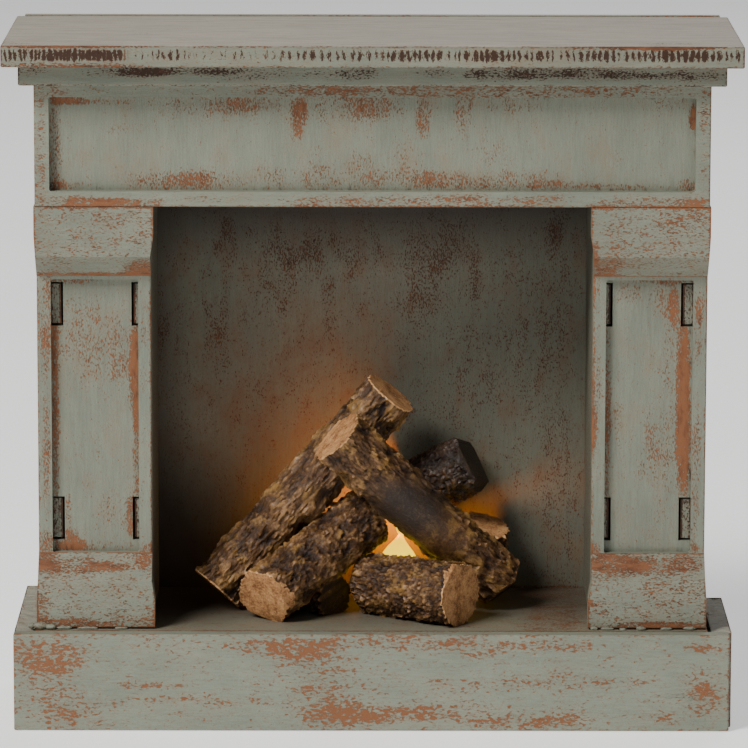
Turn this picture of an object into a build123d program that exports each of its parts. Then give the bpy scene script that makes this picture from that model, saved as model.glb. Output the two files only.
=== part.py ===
"""Doll's-house fireplace: a boarded mantel on a plinth, a pile of cast logs and an LED tealight.

Millimetres. X runs along the mantel, -Y is the front, +Z is up.
The origin is on the floor, under the middle of the whole piece.
"""
from build123d import *
import os

os.makedirs("parts", exist_ok=True)

# --- Driving dimensions -------------------------------------------------------------------------
EASE = 0.4                    # sanded arris on the show boards
BOARD = 3.0                   # thin board used for the carcass

SHELF_W = 180.0
SHELF_D = 67.5                # over the rear lath
SHELF_T = 5.3
SHELF_TOP = 170.7
LATH_D = 2.4
LATH_W = 176.0
LATH_PROUD = 0.3              # the lath stands this much above the shelf

MOULD_W = 172.2
MOULD_BACK = 4.5              # the bed mould's face sits this far behind the shelf's
FRIEZE_TOP = 160.4
FRIEZE_BOTTOM = 130.1
FRIEZE_BACK = 9.1             # the frieze's face, behind the shelf's
FRIEZE_W = 165.2
FRIEZE_STILE = 3.65
FRIEZE_BOTTOM_RAIL = 3.8
FRIEZE_TOP_RAIL = 3.3
FRIEZE_FRAME_T = 2.6

OPENING_W = 108.9             # between the pilasters
PILASTER_BACK = 15.0          # the pilasters' face, behind the shelf's
PILASTER_FRAME_T = 2.0
INNER_STILE = 3.2
OUTER_STILE = 3.45
WINDOW_LOW = 42.6             # the sunk panel of a pilaster
WINDOW_HIGH = 111.2
FRAME_CORNER = 0.6

BLOCK_OUT = 5.9               # capital and base block stand this far out from the pilaster
CAPITAL_ARRIS = 112.1         # where the capital's slope meets the pilaster
CAPITAL_FACE = 117.7          # where the slope meets the upright face
BASE_ARRIS = 42.6
BASE_FACE = 36.7
BLOCK_FLARE_IN = 0.8          # the blocks widen towards the firebox by this much
BLOCK_FLARE_OUT = 0.3
BLOCK_FLARE_RUN = 5.0         # height over which they widen
BASE_LIFT = 0.3               # open joint under each base block

PLINTH_H = 24.4
PLINTH_W = 176.9
PLINTH_BACK = 3.3             # the plinth's face, behind the shelf's
PLINTH_FRONT_T = 4.0
PLINTH_SIDE_T = 5.0
SIDE_PROUD_RIGHT = 0.7        # the right-hand side board stands past the front board
LEFT_RETURN_END = 27.2        # Y where each plinth side board stops
RIGHT_RETURN_END = 14.2
HEARTH_T = 4.0
HEARTH_W = 166.4

CHEEK_T = 1.6                 # lining of the firebox
WALL_T = 2.8                  # upright walls inside each pilaster
SKIN_T = 3.1                  # outer side skin of each pilaster
SLOT_W = 3.3
SLOT_H = 10.9
SLOT_LOW = 45.4               # lower edge of the lower slots
SLOT_HIGH = 99.3              # lower edge of the upper slots
TAB_SINK = 0.7                # the tabs stop this far inside the slotted board
TAB_SLACK = 0.5               # free height above and below a tab
FIREBOX_D = 43.0              # from the pilasters' face to the fireback

TEALIGHT_X = 6.9
TEALIGHT_BEHIND = 26.0        # behind the pilasters' face
TEALIGHT_R = 18.5
TEALIGHT_LOW = 1.4
TEALIGHT_HIGH = 20.0
TEALIGHT_HOLE_R = 19.3
SHELL = 1.0
FLAME_R = 5.5
FLAME_HOLE_R = 6.5
FLAME_TIP = 45.4
FLAME_WALL = 0.8

# --- Places worked out from them ----------------------------------------------------------------
FRONT = -SHELF_D / 2
REAR = SHELF_D / 2
MOULD_Y = FRONT + MOULD_BACK
FRIEZE_Y = FRONT + FRIEZE_BACK
PILASTER_Y = FRONT + PILASTER_BACK
PLINTH_Y = FRONT + PLINTH_BACK
MOULD_TOP = SHELF_TOP - SHELF_T
PANEL_Y = PILASTER_Y + PILASTER_FRAME_T          # face of the slotted board
CARCASS_Y = PANEL_Y + BOARD                      # front ends of the upright walls
REAR_BOARD_Y = REAR - BOARD
FIREBACK_Y = PILASTER_Y + FIREBOX_D
HEARTH_Y = PLINTH_Y + PLINTH_FRONT_T
HEARTH_LOW = PLINTH_H - HEARTH_T
INNER_X = OPENING_W / 2
OUTER_X = FRIEZE_W / 2
SKIN_X = OUTER_X - SKIN_T                        # inner face of the outer side skin
FRIEZE_PANEL_Y = FRIEZE_Y + FRIEZE_FRAME_T
TEALIGHT_Y = PILASTER_Y + TEALIGHT_BEHIND
TEALIGHT_AXIS = Axis((TEALIGHT_X, TEALIGHT_Y, 0), (0, 0, 1))
SIDES = (("left", -1), ("right", 1))

# Logs: (x, distance behind the pilasters' face, height above the hearth) of each end, and end radii.
LOGS = {
    "log_rear_long": ((-39.0, 18.5, 4.9), (4.8, 25.0, 54.0), 6.4, 6.5),
    "log_front_left": ((-27.1, 3.0, 5.8), (-3.9, 20.0, 20.9), 6.2, 6.4),
    "log_crossing": ((-8.7, 8.0, 46.2), (32.8, 20.5, 5.8), 6.5, 6.6),
    "log_charred": ((9.0, 35.0, 25.6), (25.6, 31.4, 35.4), 7.2, 7.1),
    "log_front_short": ((22.2, -1.0, 7.5), (-0.8, 16.0, 6.7), 7.4, 6.4),
    "log_right_prop": ((24.2, 33.2, 2.6), (28.6, 32.0, 18.8), 6.1, 6.0),
    "log_floor_rear": ((-12.6, 15.4, 4.2), (-23.0, 26.0, 4.2), 4.0, 4.1),
}


def save(built, label):
    """Name a finished piece and write it."""
    built.part.label = label
    export_step(built.part, f"parts/{label}.step")


def facing(y):
    """Upright plane at y that looks to the front, with X across and Z up it."""
    return Plane.XZ.offset(-y)


def rectangle_between(low, high, mode=Mode.ADD):
    """Rectangle in the current sketch from one corner to the other."""
    middle = ((low[0] + high[0]) / 2, (low[1] + high[1]) / 2)
    with Locations(middle):
        Rectangle(abs(high[0] - low[0]), abs(high[1] - low[1]), mode=mode)


def plank(label, x, y, z, ease=0.0):
    """Plain board between the given (low, high) pairs, with its arrises eased."""
    with BuildPart() as board:
        with BuildSketch(Plane.XY.offset(z[0])):
            rectangle_between((x[0], y[0]), (x[1], y[1]))
        extrude(amount=z[1] - z[0])
        if ease:
            fillet(board.edges(), ease)
    save(board, label)


def on_side(side, inner, outer):
    """The (low, high) pair in X of a piece that lies between two distances from the middle."""
    return tuple(sorted((side * inner, side * outer)))


# --- Shelf, bed mould and frieze ----------------------------------------------------------------
def make_shelf():
    half = SHELF_W / 2
    plank("mantel_shelf", (-half, half), (FRONT, REAR - LATH_D), (MOULD_TOP, SHELF_TOP), EASE)
    lath = LATH_W / 2
    lath_top = SHELF_TOP + LATH_PROUD
    plank("shelf_rear_lath", (-lath, lath), (REAR - LATH_D, REAR), (MOULD_TOP, lath_top), EASE / 2)


def make_bed_mould():
    half = MOULD_W / 2
    plank("bed_mould", (-half, half), (MOULD_Y, REAR), (FRIEZE_TOP, MOULD_TOP), EASE)


def make_frieze():
    with BuildPart() as frame:
        with BuildSketch(facing(FRIEZE_PANEL_Y)):
            rectangle_between((-OUTER_X, FRIEZE_BOTTOM), (OUTER_X, FRIEZE_TOP))
        extrude(amount=FRIEZE_FRAME_T)
        fillet(frame.faces().sort_by(Axis.Y)[0].edges(), EASE)
        with BuildSketch(facing(FRIEZE_PANEL_Y)):
            window = OUTER_X - FRIEZE_STILE
            rectangle_between((-window, FRIEZE_BOTTOM + FRIEZE_BOTTOM_RAIL),
                              (window, FRIEZE_TOP - FRIEZE_TOP_RAIL))
            fillet(vertices(), FRAME_CORNER)
        extrude(amount=FRIEZE_FRAME_T, mode=Mode.SUBTRACT)
    save(frame, "frieze_frame")
    high = (FRIEZE_BOTTOM, FRIEZE_TOP)
    panel_rear = FRIEZE_PANEL_Y + BOARD
    plank("frieze_panel", (-OUTER_X, OUTER_X), (FRIEZE_PANEL_Y, panel_rear), high)
    for name, side in SIDES:
        plank(f"frieze_end_{name}", on_side(side, OUTER_X - BOARD, OUTER_X),
              (panel_rear, REAR_BOARD_Y), high)
    inner = OUTER_X - BOARD
    plank("firebox_soffit", (-inner, inner), (panel_rear, REAR_BOARD_Y),
          (FRIEZE_BOTTOM, FRIEZE_BOTTOM + BOARD))


# --- Pilasters ----------------------------------------------------------------------------------
def slot_spans():
    """Distances from the middle where the inner and the outer slots begin."""
    return INNER_X + CHEEK_T, SKIN_X - SLOT_W


def make_pilaster_front(name, side):
    """Slotted board that the upright walls are tabbed into."""
    with BuildPart() as front:
        with BuildSketch(facing(CARCASS_Y)):
            rectangle_between((side * INNER_X, PLINTH_H), (side * OUTER_X, FRIEZE_BOTTOM))
            for begin in slot_spans():
                for low in (SLOT_LOW, SLOT_HIGH):
                    rectangle_between((side * begin, low), (side * (begin + SLOT_W), low + SLOT_H),
                                      mode=Mode.SUBTRACT)
        extrude(amount=BOARD)
    save(front, f"pilaster_front_{name}")


def make_pilaster_frame(name, side):
    """Raised stiles and rails in one piece, glued over the slotted board."""
    with BuildPart() as frame:
        with BuildSketch(facing(PANEL_Y)):
            rectangle_between((side * INNER_X, PLINTH_H), (side * OUTER_X, FRIEZE_BOTTOM))
        extrude(amount=PILASTER_FRAME_T)
        front = frame.faces().sort_by(Axis.Y)[0]
        fillet(front.edges().filter_by(Axis.Z), EASE)
        with BuildSketch(facing(PANEL_Y)):
            rectangle_between((side * (INNER_X + INNER_STILE), WINDOW_LOW),
                              (side * (OUTER_X - OUTER_STILE), WINDOW_HIGH))
            fillet(vertices(), FRAME_CORNER)
        extrude(amount=PILASTER_FRAME_T, mode=Mode.SUBTRACT)
    save(frame, f"pilaster_frame_{name}")


def make_pilaster_wall(label, side, begin):
    """Upright wall whose two tabs reach forward into the slots."""
    with BuildPart() as wall:
        with BuildSketch(Plane.XY.offset(PLINTH_H)):
            rectangle_between((side * begin, CARCASS_Y), (side * (begin + WALL_T), REAR_BOARD_Y))
        extrude(amount=FRIEZE_BOTTOM - PLINTH_H)
        for low in (SLOT_LOW, SLOT_HIGH):
            with BuildSketch(Plane.XY.offset(low + TAB_SLACK)):
                rectangle_between((side * begin, PANEL_Y + TAB_SINK),
                                  (side * (begin + WALL_T), CARCASS_Y))
            extrude(amount=SLOT_H - 2 * TAB_SLACK)
    save(wall, label)


def make_pilaster_sides(name, side):
    """Walls, outer skin and firebox lining behind one pilaster's front."""
    inner_begin, outer_begin = slot_spans()
    make_pilaster_wall(f"pilaster_inner_wall_{name}", side, inner_begin)
    make_pilaster_wall(f"pilaster_outer_wall_{name}", side, outer_begin + SLOT_W - WALL_T)
    high = (PLINTH_H, FRIEZE_BOTTOM)
    plank(f"side_skin_{name}", on_side(side, SKIN_X, OUTER_X), (CARCASS_Y, REAR_BOARD_Y), high)
    plank(f"firebox_cheek_{name}", on_side(side, INNER_X, INNER_X + CHEEK_T),
          (CARCASS_Y, FIREBACK_Y), high)


def make_block(label, side, arris, face, end):
    """Capital or base block: an upright face, a slope back to the pilaster, and a slight flare.

    arris, face and end are heights, from the slope's foot on the pilaster to the far end.
    """
    away = 1 if end > arris else -1
    flare_to = face + away * BLOCK_FLARE_RUN
    block_y = PILASTER_Y - BLOCK_OUT
    inner_wide = INNER_X - BLOCK_FLARE_IN
    outer_wide = OUTER_X + BLOCK_FLARE_OUT
    low_x = on_side(side, inner_wide, outer_wide)[0]
    with BuildPart() as block:
        with BuildSketch(Plane.YZ.offset(low_x)):
            with BuildLine():
                Polyline((PILASTER_Y, arris), (block_y, face), (block_y, end), (PILASTER_Y, end),
                         close=True)
            make_face()
        extrude(amount=outer_wide - inner_wide)
        with BuildSketch(facing(PILASTER_Y)):
            with BuildLine():
                Polyline((side * INNER_X, arris), (side * INNER_X, face),
                         (side * inner_wide, flare_to), (side * inner_wide, end),
                         (side * outer_wide, end), (side * outer_wide, flare_to),
                         (side * OUTER_X, face), (side * OUTER_X, arris), close=True)
            make_face()
        extrude(amount=BLOCK_OUT, mode=Mode.INTERSECT)
        front = block.faces().sort_by(Axis.Y)[0]
        fillet(front.edges().filter_by(Axis.X), EASE)
    save(block, label)


def make_pilasters():
    for name, side in SIDES:
        make_pilaster_front(name, side)
        make_pilaster_frame(name, side)
        make_pilaster_sides(name, side)
        make_block(f"capital_{name}", side, CAPITAL_ARRIS, CAPITAL_FACE, FRIEZE_BOTTOM)
        make_block(f"base_block_{name}", side, BASE_ARRIS, BASE_FACE, PLINTH_H + BASE_LIFT)


# --- Firebox back, rear board and plinth --------------------------------------------------------
def make_backs():
    lined = INNER_X + CHEEK_T
    plank("fireback", (-lined, lined), (FIREBACK_Y, FIREBACK_Y + BOARD), (PLINTH_H, FRIEZE_BOTTOM))
    plank("rear_board", (-OUTER_X, OUTER_X), (REAR_BOARD_Y, REAR), (0, FRIEZE_TOP), EASE / 2)


def make_plinth_case():
    front_x = PLINTH_W / 2
    plank("plinth_front_board", (-front_x, front_x), (PLINTH_Y, HEARTH_Y), (0, PLINTH_H), EASE)
    plank("plinth_side_board_left", (-front_x, PLINTH_SIDE_T - front_x),
          (HEARTH_Y, LEFT_RETURN_END), (0, PLINTH_H), EASE)
    right_x = front_x + SIDE_PROUD_RIGHT
    plank("plinth_side_board_right", (right_x - PLINTH_SIDE_T, right_x),
          (HEARTH_Y, RIGHT_RETURN_END), (0, PLINTH_H), EASE)


def make_plinth_core():
    """Hidden box that carries the hearth board and the pilasters."""
    half = HEARTH_W / 2
    rib = INNER_X + CHEEK_T
    within = half - BOARD
    rail_y = REAR_BOARD_Y - BOARD
    under = (BOARD, HEARTH_LOW)
    for name, side in SIDES:
        plank(f"plinth_core_side_{name}", on_side(side, within, half),
              (HEARTH_Y, REAR_BOARD_Y), (0, HEARTH_LOW))
        plank(f"plinth_rib_{name}", on_side(side, rib, rib + BOARD), (HEARTH_Y, rail_y), under)
    plank("plinth_rear_rail", (-within, within), (rail_y, REAR_BOARD_Y), under)
    with BuildPart() as bottom:
        with BuildSketch():
            rectangle_between((-within, HEARTH_Y), (within, REAR_BOARD_Y))
        extrude(amount=BOARD)
        with Locations((TEALIGHT_X, TEALIGHT_Y, BOARD)):
            Hole(TEALIGHT_HOLE_R, depth=BOARD)
    save(bottom, "plinth_bottom_board")


def make_hearth():
    half = HEARTH_W / 2
    with BuildPart() as hearth:
        with BuildSketch(Plane.XY.offset(HEARTH_LOW)):
            rectangle_between((-half, HEARTH_Y), (half, REAR_BOARD_Y))
        extrude(amount=HEARTH_T)
        with Locations((TEALIGHT_X, TEALIGHT_Y, PLINTH_H)):
            Hole(FLAME_HOLE_R, depth=HEARTH_T)
    save(hearth, "hearth_board")


# --- Log pile -----------------------------------------------------------------------------------
def make_log(label, start, end, start_r, end_r):
    """Tapered log between two end centres."""
    foot = Vector(start[0], PILASTER_Y + start[1], PLINTH_H + start[2])
    head = Vector(end[0], PILASTER_Y + end[1], PLINTH_H + end[2])
    cut = Plane(origin=foot, z_dir=head - foot)
    with BuildPart() as log:
        with BuildSketch(cut):
            Circle(start_r)
        with BuildSketch(cut.offset((head - foot).length)):
            Circle(end_r)
        loft()
        fillet(log.edges().filter_by(GeomType.CIRCLE), EASE)
    save(log, label)


# --- LED tealight -------------------------------------------------------------------------------
LID = 1.2                     # thickness of the tealight's top
LID_DROP = 0.8                # the top is sunk this far inside its rim
FLANGE_R = 7.0
FLAME_SLACK = 0.2             # between the flame and the hole it stands in
FLAME_SHOULDER = 31.0         # height up to which the flame is a plain tube
FLAME_OUTLINE = ((4.0, 37.2), (1.5, 42.2))      # (radius, height) on its curved outside
FLAME_LINING = (3.1, 36.8)    # the same on its inside
FLAME_TIP_T = 4.0             # solid part at the tip
FLANGE_T = 0.9
DOOR_R = 10.8
DOOR_GAP = 0.3
DOOR_SHIFT = 4.0              # the battery door's centre, towards the back
COIN_SLOT_W = 1.6
COIN_SLOT_DEPTH = 0.7
FLOOR_T = 1.6                 # thickness of the tealight's base plate
CELL_R = 10.0
CELL_T = 3.2
CELL_LOW = 4.4
STRIP_W = 3.0                 # battery contact strips
STRIP_T = 0.3
STRIP_REACH = 12.5
CIRCUIT_LOW = 12.0
CIRCUIT_T = 1.0
CIRCUIT_R = 13.5
LED_R = 2.5
LED_STRAIGHT = 7.0
SWITCH_BACK = 12.2            # the switch's centre, towards the front
SWITCH_TRAVEL = 2.5
KNOB = (2.4, 1.8, 2.6)
SWITCH_PLATE = (6.4, 4.0, 0.8)
SWITCH_GAP = 0.3


def tealight_section():
    """Upright plane through the tealight's axis: radius across, height up."""
    return Plane(origin=(TEALIGHT_X, TEALIGHT_Y, 0), x_dir=(1, 0, 0), z_dir=(0, -1, 0))


def make_tealight_case():
    lid_top = TEALIGHT_HIGH - LID_DROP
    inner = TEALIGHT_R - SHELL
    with BuildPart() as case:
        with BuildSketch(tealight_section()):
            rectangle_between((FLAME_R + FLAME_SLACK, lid_top - LID), (TEALIGHT_R, lid_top))
            rectangle_between((inner, TEALIGHT_LOW), (TEALIGHT_R, TEALIGHT_HIGH))
        revolve(axis=TEALIGHT_AXIS)
        fillet(case.edges().group_by(Axis.Z)[-1], EASE)
    save(case, "tealight_case")


def make_tealight_base():
    with BuildPart() as base:
        with BuildSketch(Plane.XY.offset(TEALIGHT_LOW)):
            with Locations((TEALIGHT_X, TEALIGHT_Y)):
                Circle(TEALIGHT_R - SHELL)
            with Locations((TEALIGHT_X, TEALIGHT_Y + DOOR_SHIFT)):
                Circle(DOOR_R + DOOR_GAP, mode=Mode.SUBTRACT)
            with Locations((TEALIGHT_X + SWITCH_TRAVEL / 2, TEALIGHT_Y - SWITCH_BACK)):
                Rectangle(KNOB[0] + SWITCH_TRAVEL + 2 * SWITCH_GAP, KNOB[1] + 2 * SWITCH_GAP,
                          mode=Mode.SUBTRACT)
        extrude(amount=FLOOR_T)
    save(base, "tealight_base")


def make_flame():
    """Hollow flame-shaped diffuser with a flange under the tealight's top."""
    flange_high = TEALIGHT_HIGH - LID_DROP - LID
    flange_low = flange_high - FLANGE_T
    with BuildPart() as flame:
        with BuildSketch(tealight_section()):
            with BuildLine():
                Polyline((0, FLAME_TIP), (0, flange_low), (FLANGE_R, flange_low),
                         (FLANGE_R, flange_high), (FLAME_R, flange_high), (FLAME_R, FLAME_SHOULDER))
                Spline((FLAME_R, FLAME_SHOULDER), *FLAME_OUTLINE, (0, FLAME_TIP),
                       tangents=((0, 1), (-0.45, 1)))
            make_face()
        revolve(axis=TEALIGHT_AXIS)
        inner = FLAME_R - FLAME_WALL
        with BuildSketch(tealight_section()):
            with BuildLine():
                Polyline((0, FLAME_TIP - FLAME_TIP_T), (0, flange_low), (inner, flange_low),
                         (inner, FLAME_SHOULDER))
                Spline((inner, FLAME_SHOULDER), FLAME_LINING, (0, FLAME_TIP - FLAME_TIP_T),
                       tangents=((0, 1), (-0.8, 1)))
            make_face()
        revolve(axis=TEALIGHT_AXIS, mode=Mode.SUBTRACT)
    save(flame, "flame_diffuser")


def make_light_works():
    """Lamp, circuit board, coin cell and the two contact strips."""
    centre = (TEALIGHT_X, TEALIGHT_Y)
    cell_centre = (TEALIGHT_X, TEALIGHT_Y + DOOR_SHIFT)
    with BuildPart() as circuit:
        with BuildSketch(Plane.XY.offset(CIRCUIT_LOW)):
            with Locations(centre):
                Circle(CIRCUIT_R)
        extrude(amount=CIRCUIT_T)
    save(circuit, "circuit_board")
    with BuildPart() as led:
        with BuildSketch(Plane.XY.offset(CIRCUIT_LOW + CIRCUIT_T)):
            with Locations(centre):
                Circle(LED_R)
        extrude(amount=LED_STRAIGHT)
        dome_z = CIRCUIT_LOW + CIRCUIT_T + LED_STRAIGHT
        with Locations((*centre, dome_z)):
            Sphere(LED_R)
    save(led, "led")
    with BuildPart() as cell:
        with BuildSketch(Plane.XY.offset(CELL_LOW)):
            with Locations(cell_centre):
                Circle(CELL_R)
        extrude(amount=CELL_T)
        fillet(cell.edges().group_by(Axis.Z)[0], EASE)
    save(cell, "coin_cell")
    strips = (("contact_negative", -1, CELL_LOW - STRIP_T), ("contact_positive", 1, CELL_LOW + CELL_T))
    for label, side, low in strips:
        far_x = TEALIGHT_X + side * STRIP_REACH
        near_y = cell_centre[1] - STRIP_W / 2
        with BuildPart() as strip:
            with BuildSketch(Plane.XY.offset(low)):
                rectangle_between((TEALIGHT_X, near_y), (far_x, near_y + STRIP_W))
            extrude(amount=STRIP_T)
            with BuildSketch(Plane.XY.offset(low)):
                rectangle_between((far_x - side * STRIP_T, near_y), (far_x, near_y + STRIP_W))
            extrude(amount=CIRCUIT_LOW - low)
        save(strip, label)


def make_battery_door():
    with BuildPart() as door:
        with BuildSketch(Plane.XY.offset(TEALIGHT_LOW)):
            with Locations((TEALIGHT_X, TEALIGHT_Y + DOOR_SHIFT)):
                Circle(DOOR_R)
        extrude(amount=FLOOR_T)
        with BuildSketch(Plane.XY.offset(TEALIGHT_LOW)):
            with Locations((TEALIGHT_X, TEALIGHT_Y + DOOR_SHIFT)):
                Rectangle(DOOR_R, COIN_SLOT_W)
        extrude(amount=COIN_SLOT_DEPTH, mode=Mode.SUBTRACT)
    save(door, "battery_door")


def make_switch():
    """Slider: a plate inside the base and a knob that reaches down through the slot."""
    plate_low = TEALIGHT_LOW + FLOOR_T + SWITCH_GAP
    with BuildPart() as slider:
        with BuildSketch(Plane.XY.offset(plate_low)):
            with Locations((TEALIGHT_X, TEALIGHT_Y - SWITCH_BACK)):
                Rectangle(SWITCH_PLATE[0], SWITCH_PLATE[1])
        extrude(amount=SWITCH_PLATE[2])
        with BuildSketch(Plane.XY.offset(plate_low)):
            with Locations((TEALIGHT_X, TEALIGHT_Y - SWITCH_BACK)):
                Rectangle(KNOB[0], KNOB[1])
        extrude(amount=-KNOB[2])
    save(slider, "switch_slider")


make_shelf()
make_bed_mould()
make_frieze()
make_pilasters()
make_backs()
make_plinth_case()
make_plinth_core()
make_hearth()
for log_name, log_size in LOGS.items():
    make_log(log_name, *log_size)
make_tealight_case()
make_tealight_base()
make_flame()
make_light_works()
make_battery_door()
make_switch()
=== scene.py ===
"""Looks of the doll's-house fireplace: rubbed chalk paint, cast bark logs and an amber tealight.

Blender units are metres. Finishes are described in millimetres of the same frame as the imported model:
X along the mantel, -Y to the front, +Z up, with the origin on the floor.
"""

import logging
import math
from dataclasses import dataclass, field
from enum import Enum
from typing import Any, Dict, List, Optional, Sequence, Tuple

import bmesh
import bpy
import numpy as np
from mathutils import Matrix, Vector


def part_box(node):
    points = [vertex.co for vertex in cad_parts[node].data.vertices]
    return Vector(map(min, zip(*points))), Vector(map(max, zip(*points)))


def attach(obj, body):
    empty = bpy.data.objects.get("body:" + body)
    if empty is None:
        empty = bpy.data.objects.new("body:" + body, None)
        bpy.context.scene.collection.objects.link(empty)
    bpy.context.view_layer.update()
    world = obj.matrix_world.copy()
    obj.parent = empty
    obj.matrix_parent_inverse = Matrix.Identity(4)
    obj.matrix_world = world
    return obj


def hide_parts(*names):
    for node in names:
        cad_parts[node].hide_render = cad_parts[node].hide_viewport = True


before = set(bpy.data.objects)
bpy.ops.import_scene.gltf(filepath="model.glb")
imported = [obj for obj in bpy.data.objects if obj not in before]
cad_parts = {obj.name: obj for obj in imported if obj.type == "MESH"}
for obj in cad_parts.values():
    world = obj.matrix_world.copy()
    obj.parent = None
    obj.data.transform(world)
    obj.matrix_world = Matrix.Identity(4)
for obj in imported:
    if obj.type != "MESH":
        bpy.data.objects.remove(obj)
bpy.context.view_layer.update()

LOG = logging.getLogger("fireplace")
MM = 0.001
FIREPLACE = "fireplace"
TEALIGHT = "tealight"
Colour = Tuple[float, float, float]
Tint = Tuple[float, float, float, float]


def tint(red: int, green: int, blue: int) -> Tint:
    """Linear colour of an 8-bit swatch.

    Args:
        red: Red level, from 0 to 255.
        green: Green level.
        blue: Blue level.
    Returns:
        The opaque colour in linear light.
    """
    def linear(level: int) -> float:
        """One channel, from 0..255 to linear light."""
        share = level / 255
        return share / 12.92 if share <= 0.04045 else ((share + 0.055) / 1.055) ** 2.4
    return linear(red), linear(green), linear(blue), 1.0


# --- Material graph -----------------------------------------------------------------------------
class Value:
    """A number socket of a material. Arithmetic on it adds Math nodes."""

    def __init__(self, graph: "Graph", socket: bpy.types.NodeSocket) -> None:
        """Wrap an output socket of the graph."""
        self.graph = graph
        self.socket = socket

    def maths(self, operation: str, *inputs: Any, clamp: bool = False) -> "Value":
        """Add a Math node.

        Args:
            operation: The Math node's operation.
            inputs: Its inputs in order, each a Value or a number.
            clamp: Whether the result is held between 0 and 1.
        Returns:
            The node's result.
        """
        settings = {"operation": operation, "use_clamp": clamp}
        node = self.graph.add("ShaderNodeMath", settings, dict(enumerate(inputs)))
        return Value(self.graph, node.outputs[0])

    def __add__(self, other: Any) -> "Value":
        """Sum."""
        return self.maths("ADD", self, other)

    __radd__ = __add__

    def __mul__(self, other: Any) -> "Value":
        """Product."""
        return self.maths("MULTIPLY", self, other)

    __rmul__ = __mul__

    def __sub__(self, other: Any) -> "Value":
        """Difference."""
        return self.maths("SUBTRACT", self, other)

    def __rsub__(self, other: Any) -> "Value":
        """Difference from a number."""
        return self.maths("SUBTRACT", other, self)

    def __truediv__(self, other: Any) -> "Value":
        """Quotient."""
        return self.maths("DIVIDE", self, other)

    def least(self, other: Any) -> "Value":
        """The smaller of two values."""
        return self.maths("MINIMUM", self, other)

    def most(self, other: Any) -> "Value":
        """The larger of two values."""
        return self.maths("MAXIMUM", self, other)

    def held(self) -> "Value":
        """The value held between 0 and 1."""
        return self.maths("ADD", self, 0.0, clamp=True)

    def wave(self) -> "Value":
        """Sine, from 0 to 1."""
        return self.maths("SINE", self) * 0.5 + 0.5

    def ease(self, low: float, high: float) -> "Value":
        """Smooth step between two values.

        Args:
            low: Where the step is 0.
            high: Where it is 1, above or below low.
        Returns:
            The step, from 0 to 1.
        """
        if low > high:
            return 1.0 - self.ease(high, low)
        node = self.graph.add("ShaderNodeMapRange", {"interpolation_type": "SMOOTHSTEP"},
                              {"Value": self, "From Min": low, "From Max": high})
        return Value(self.graph, node.outputs[0])


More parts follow.
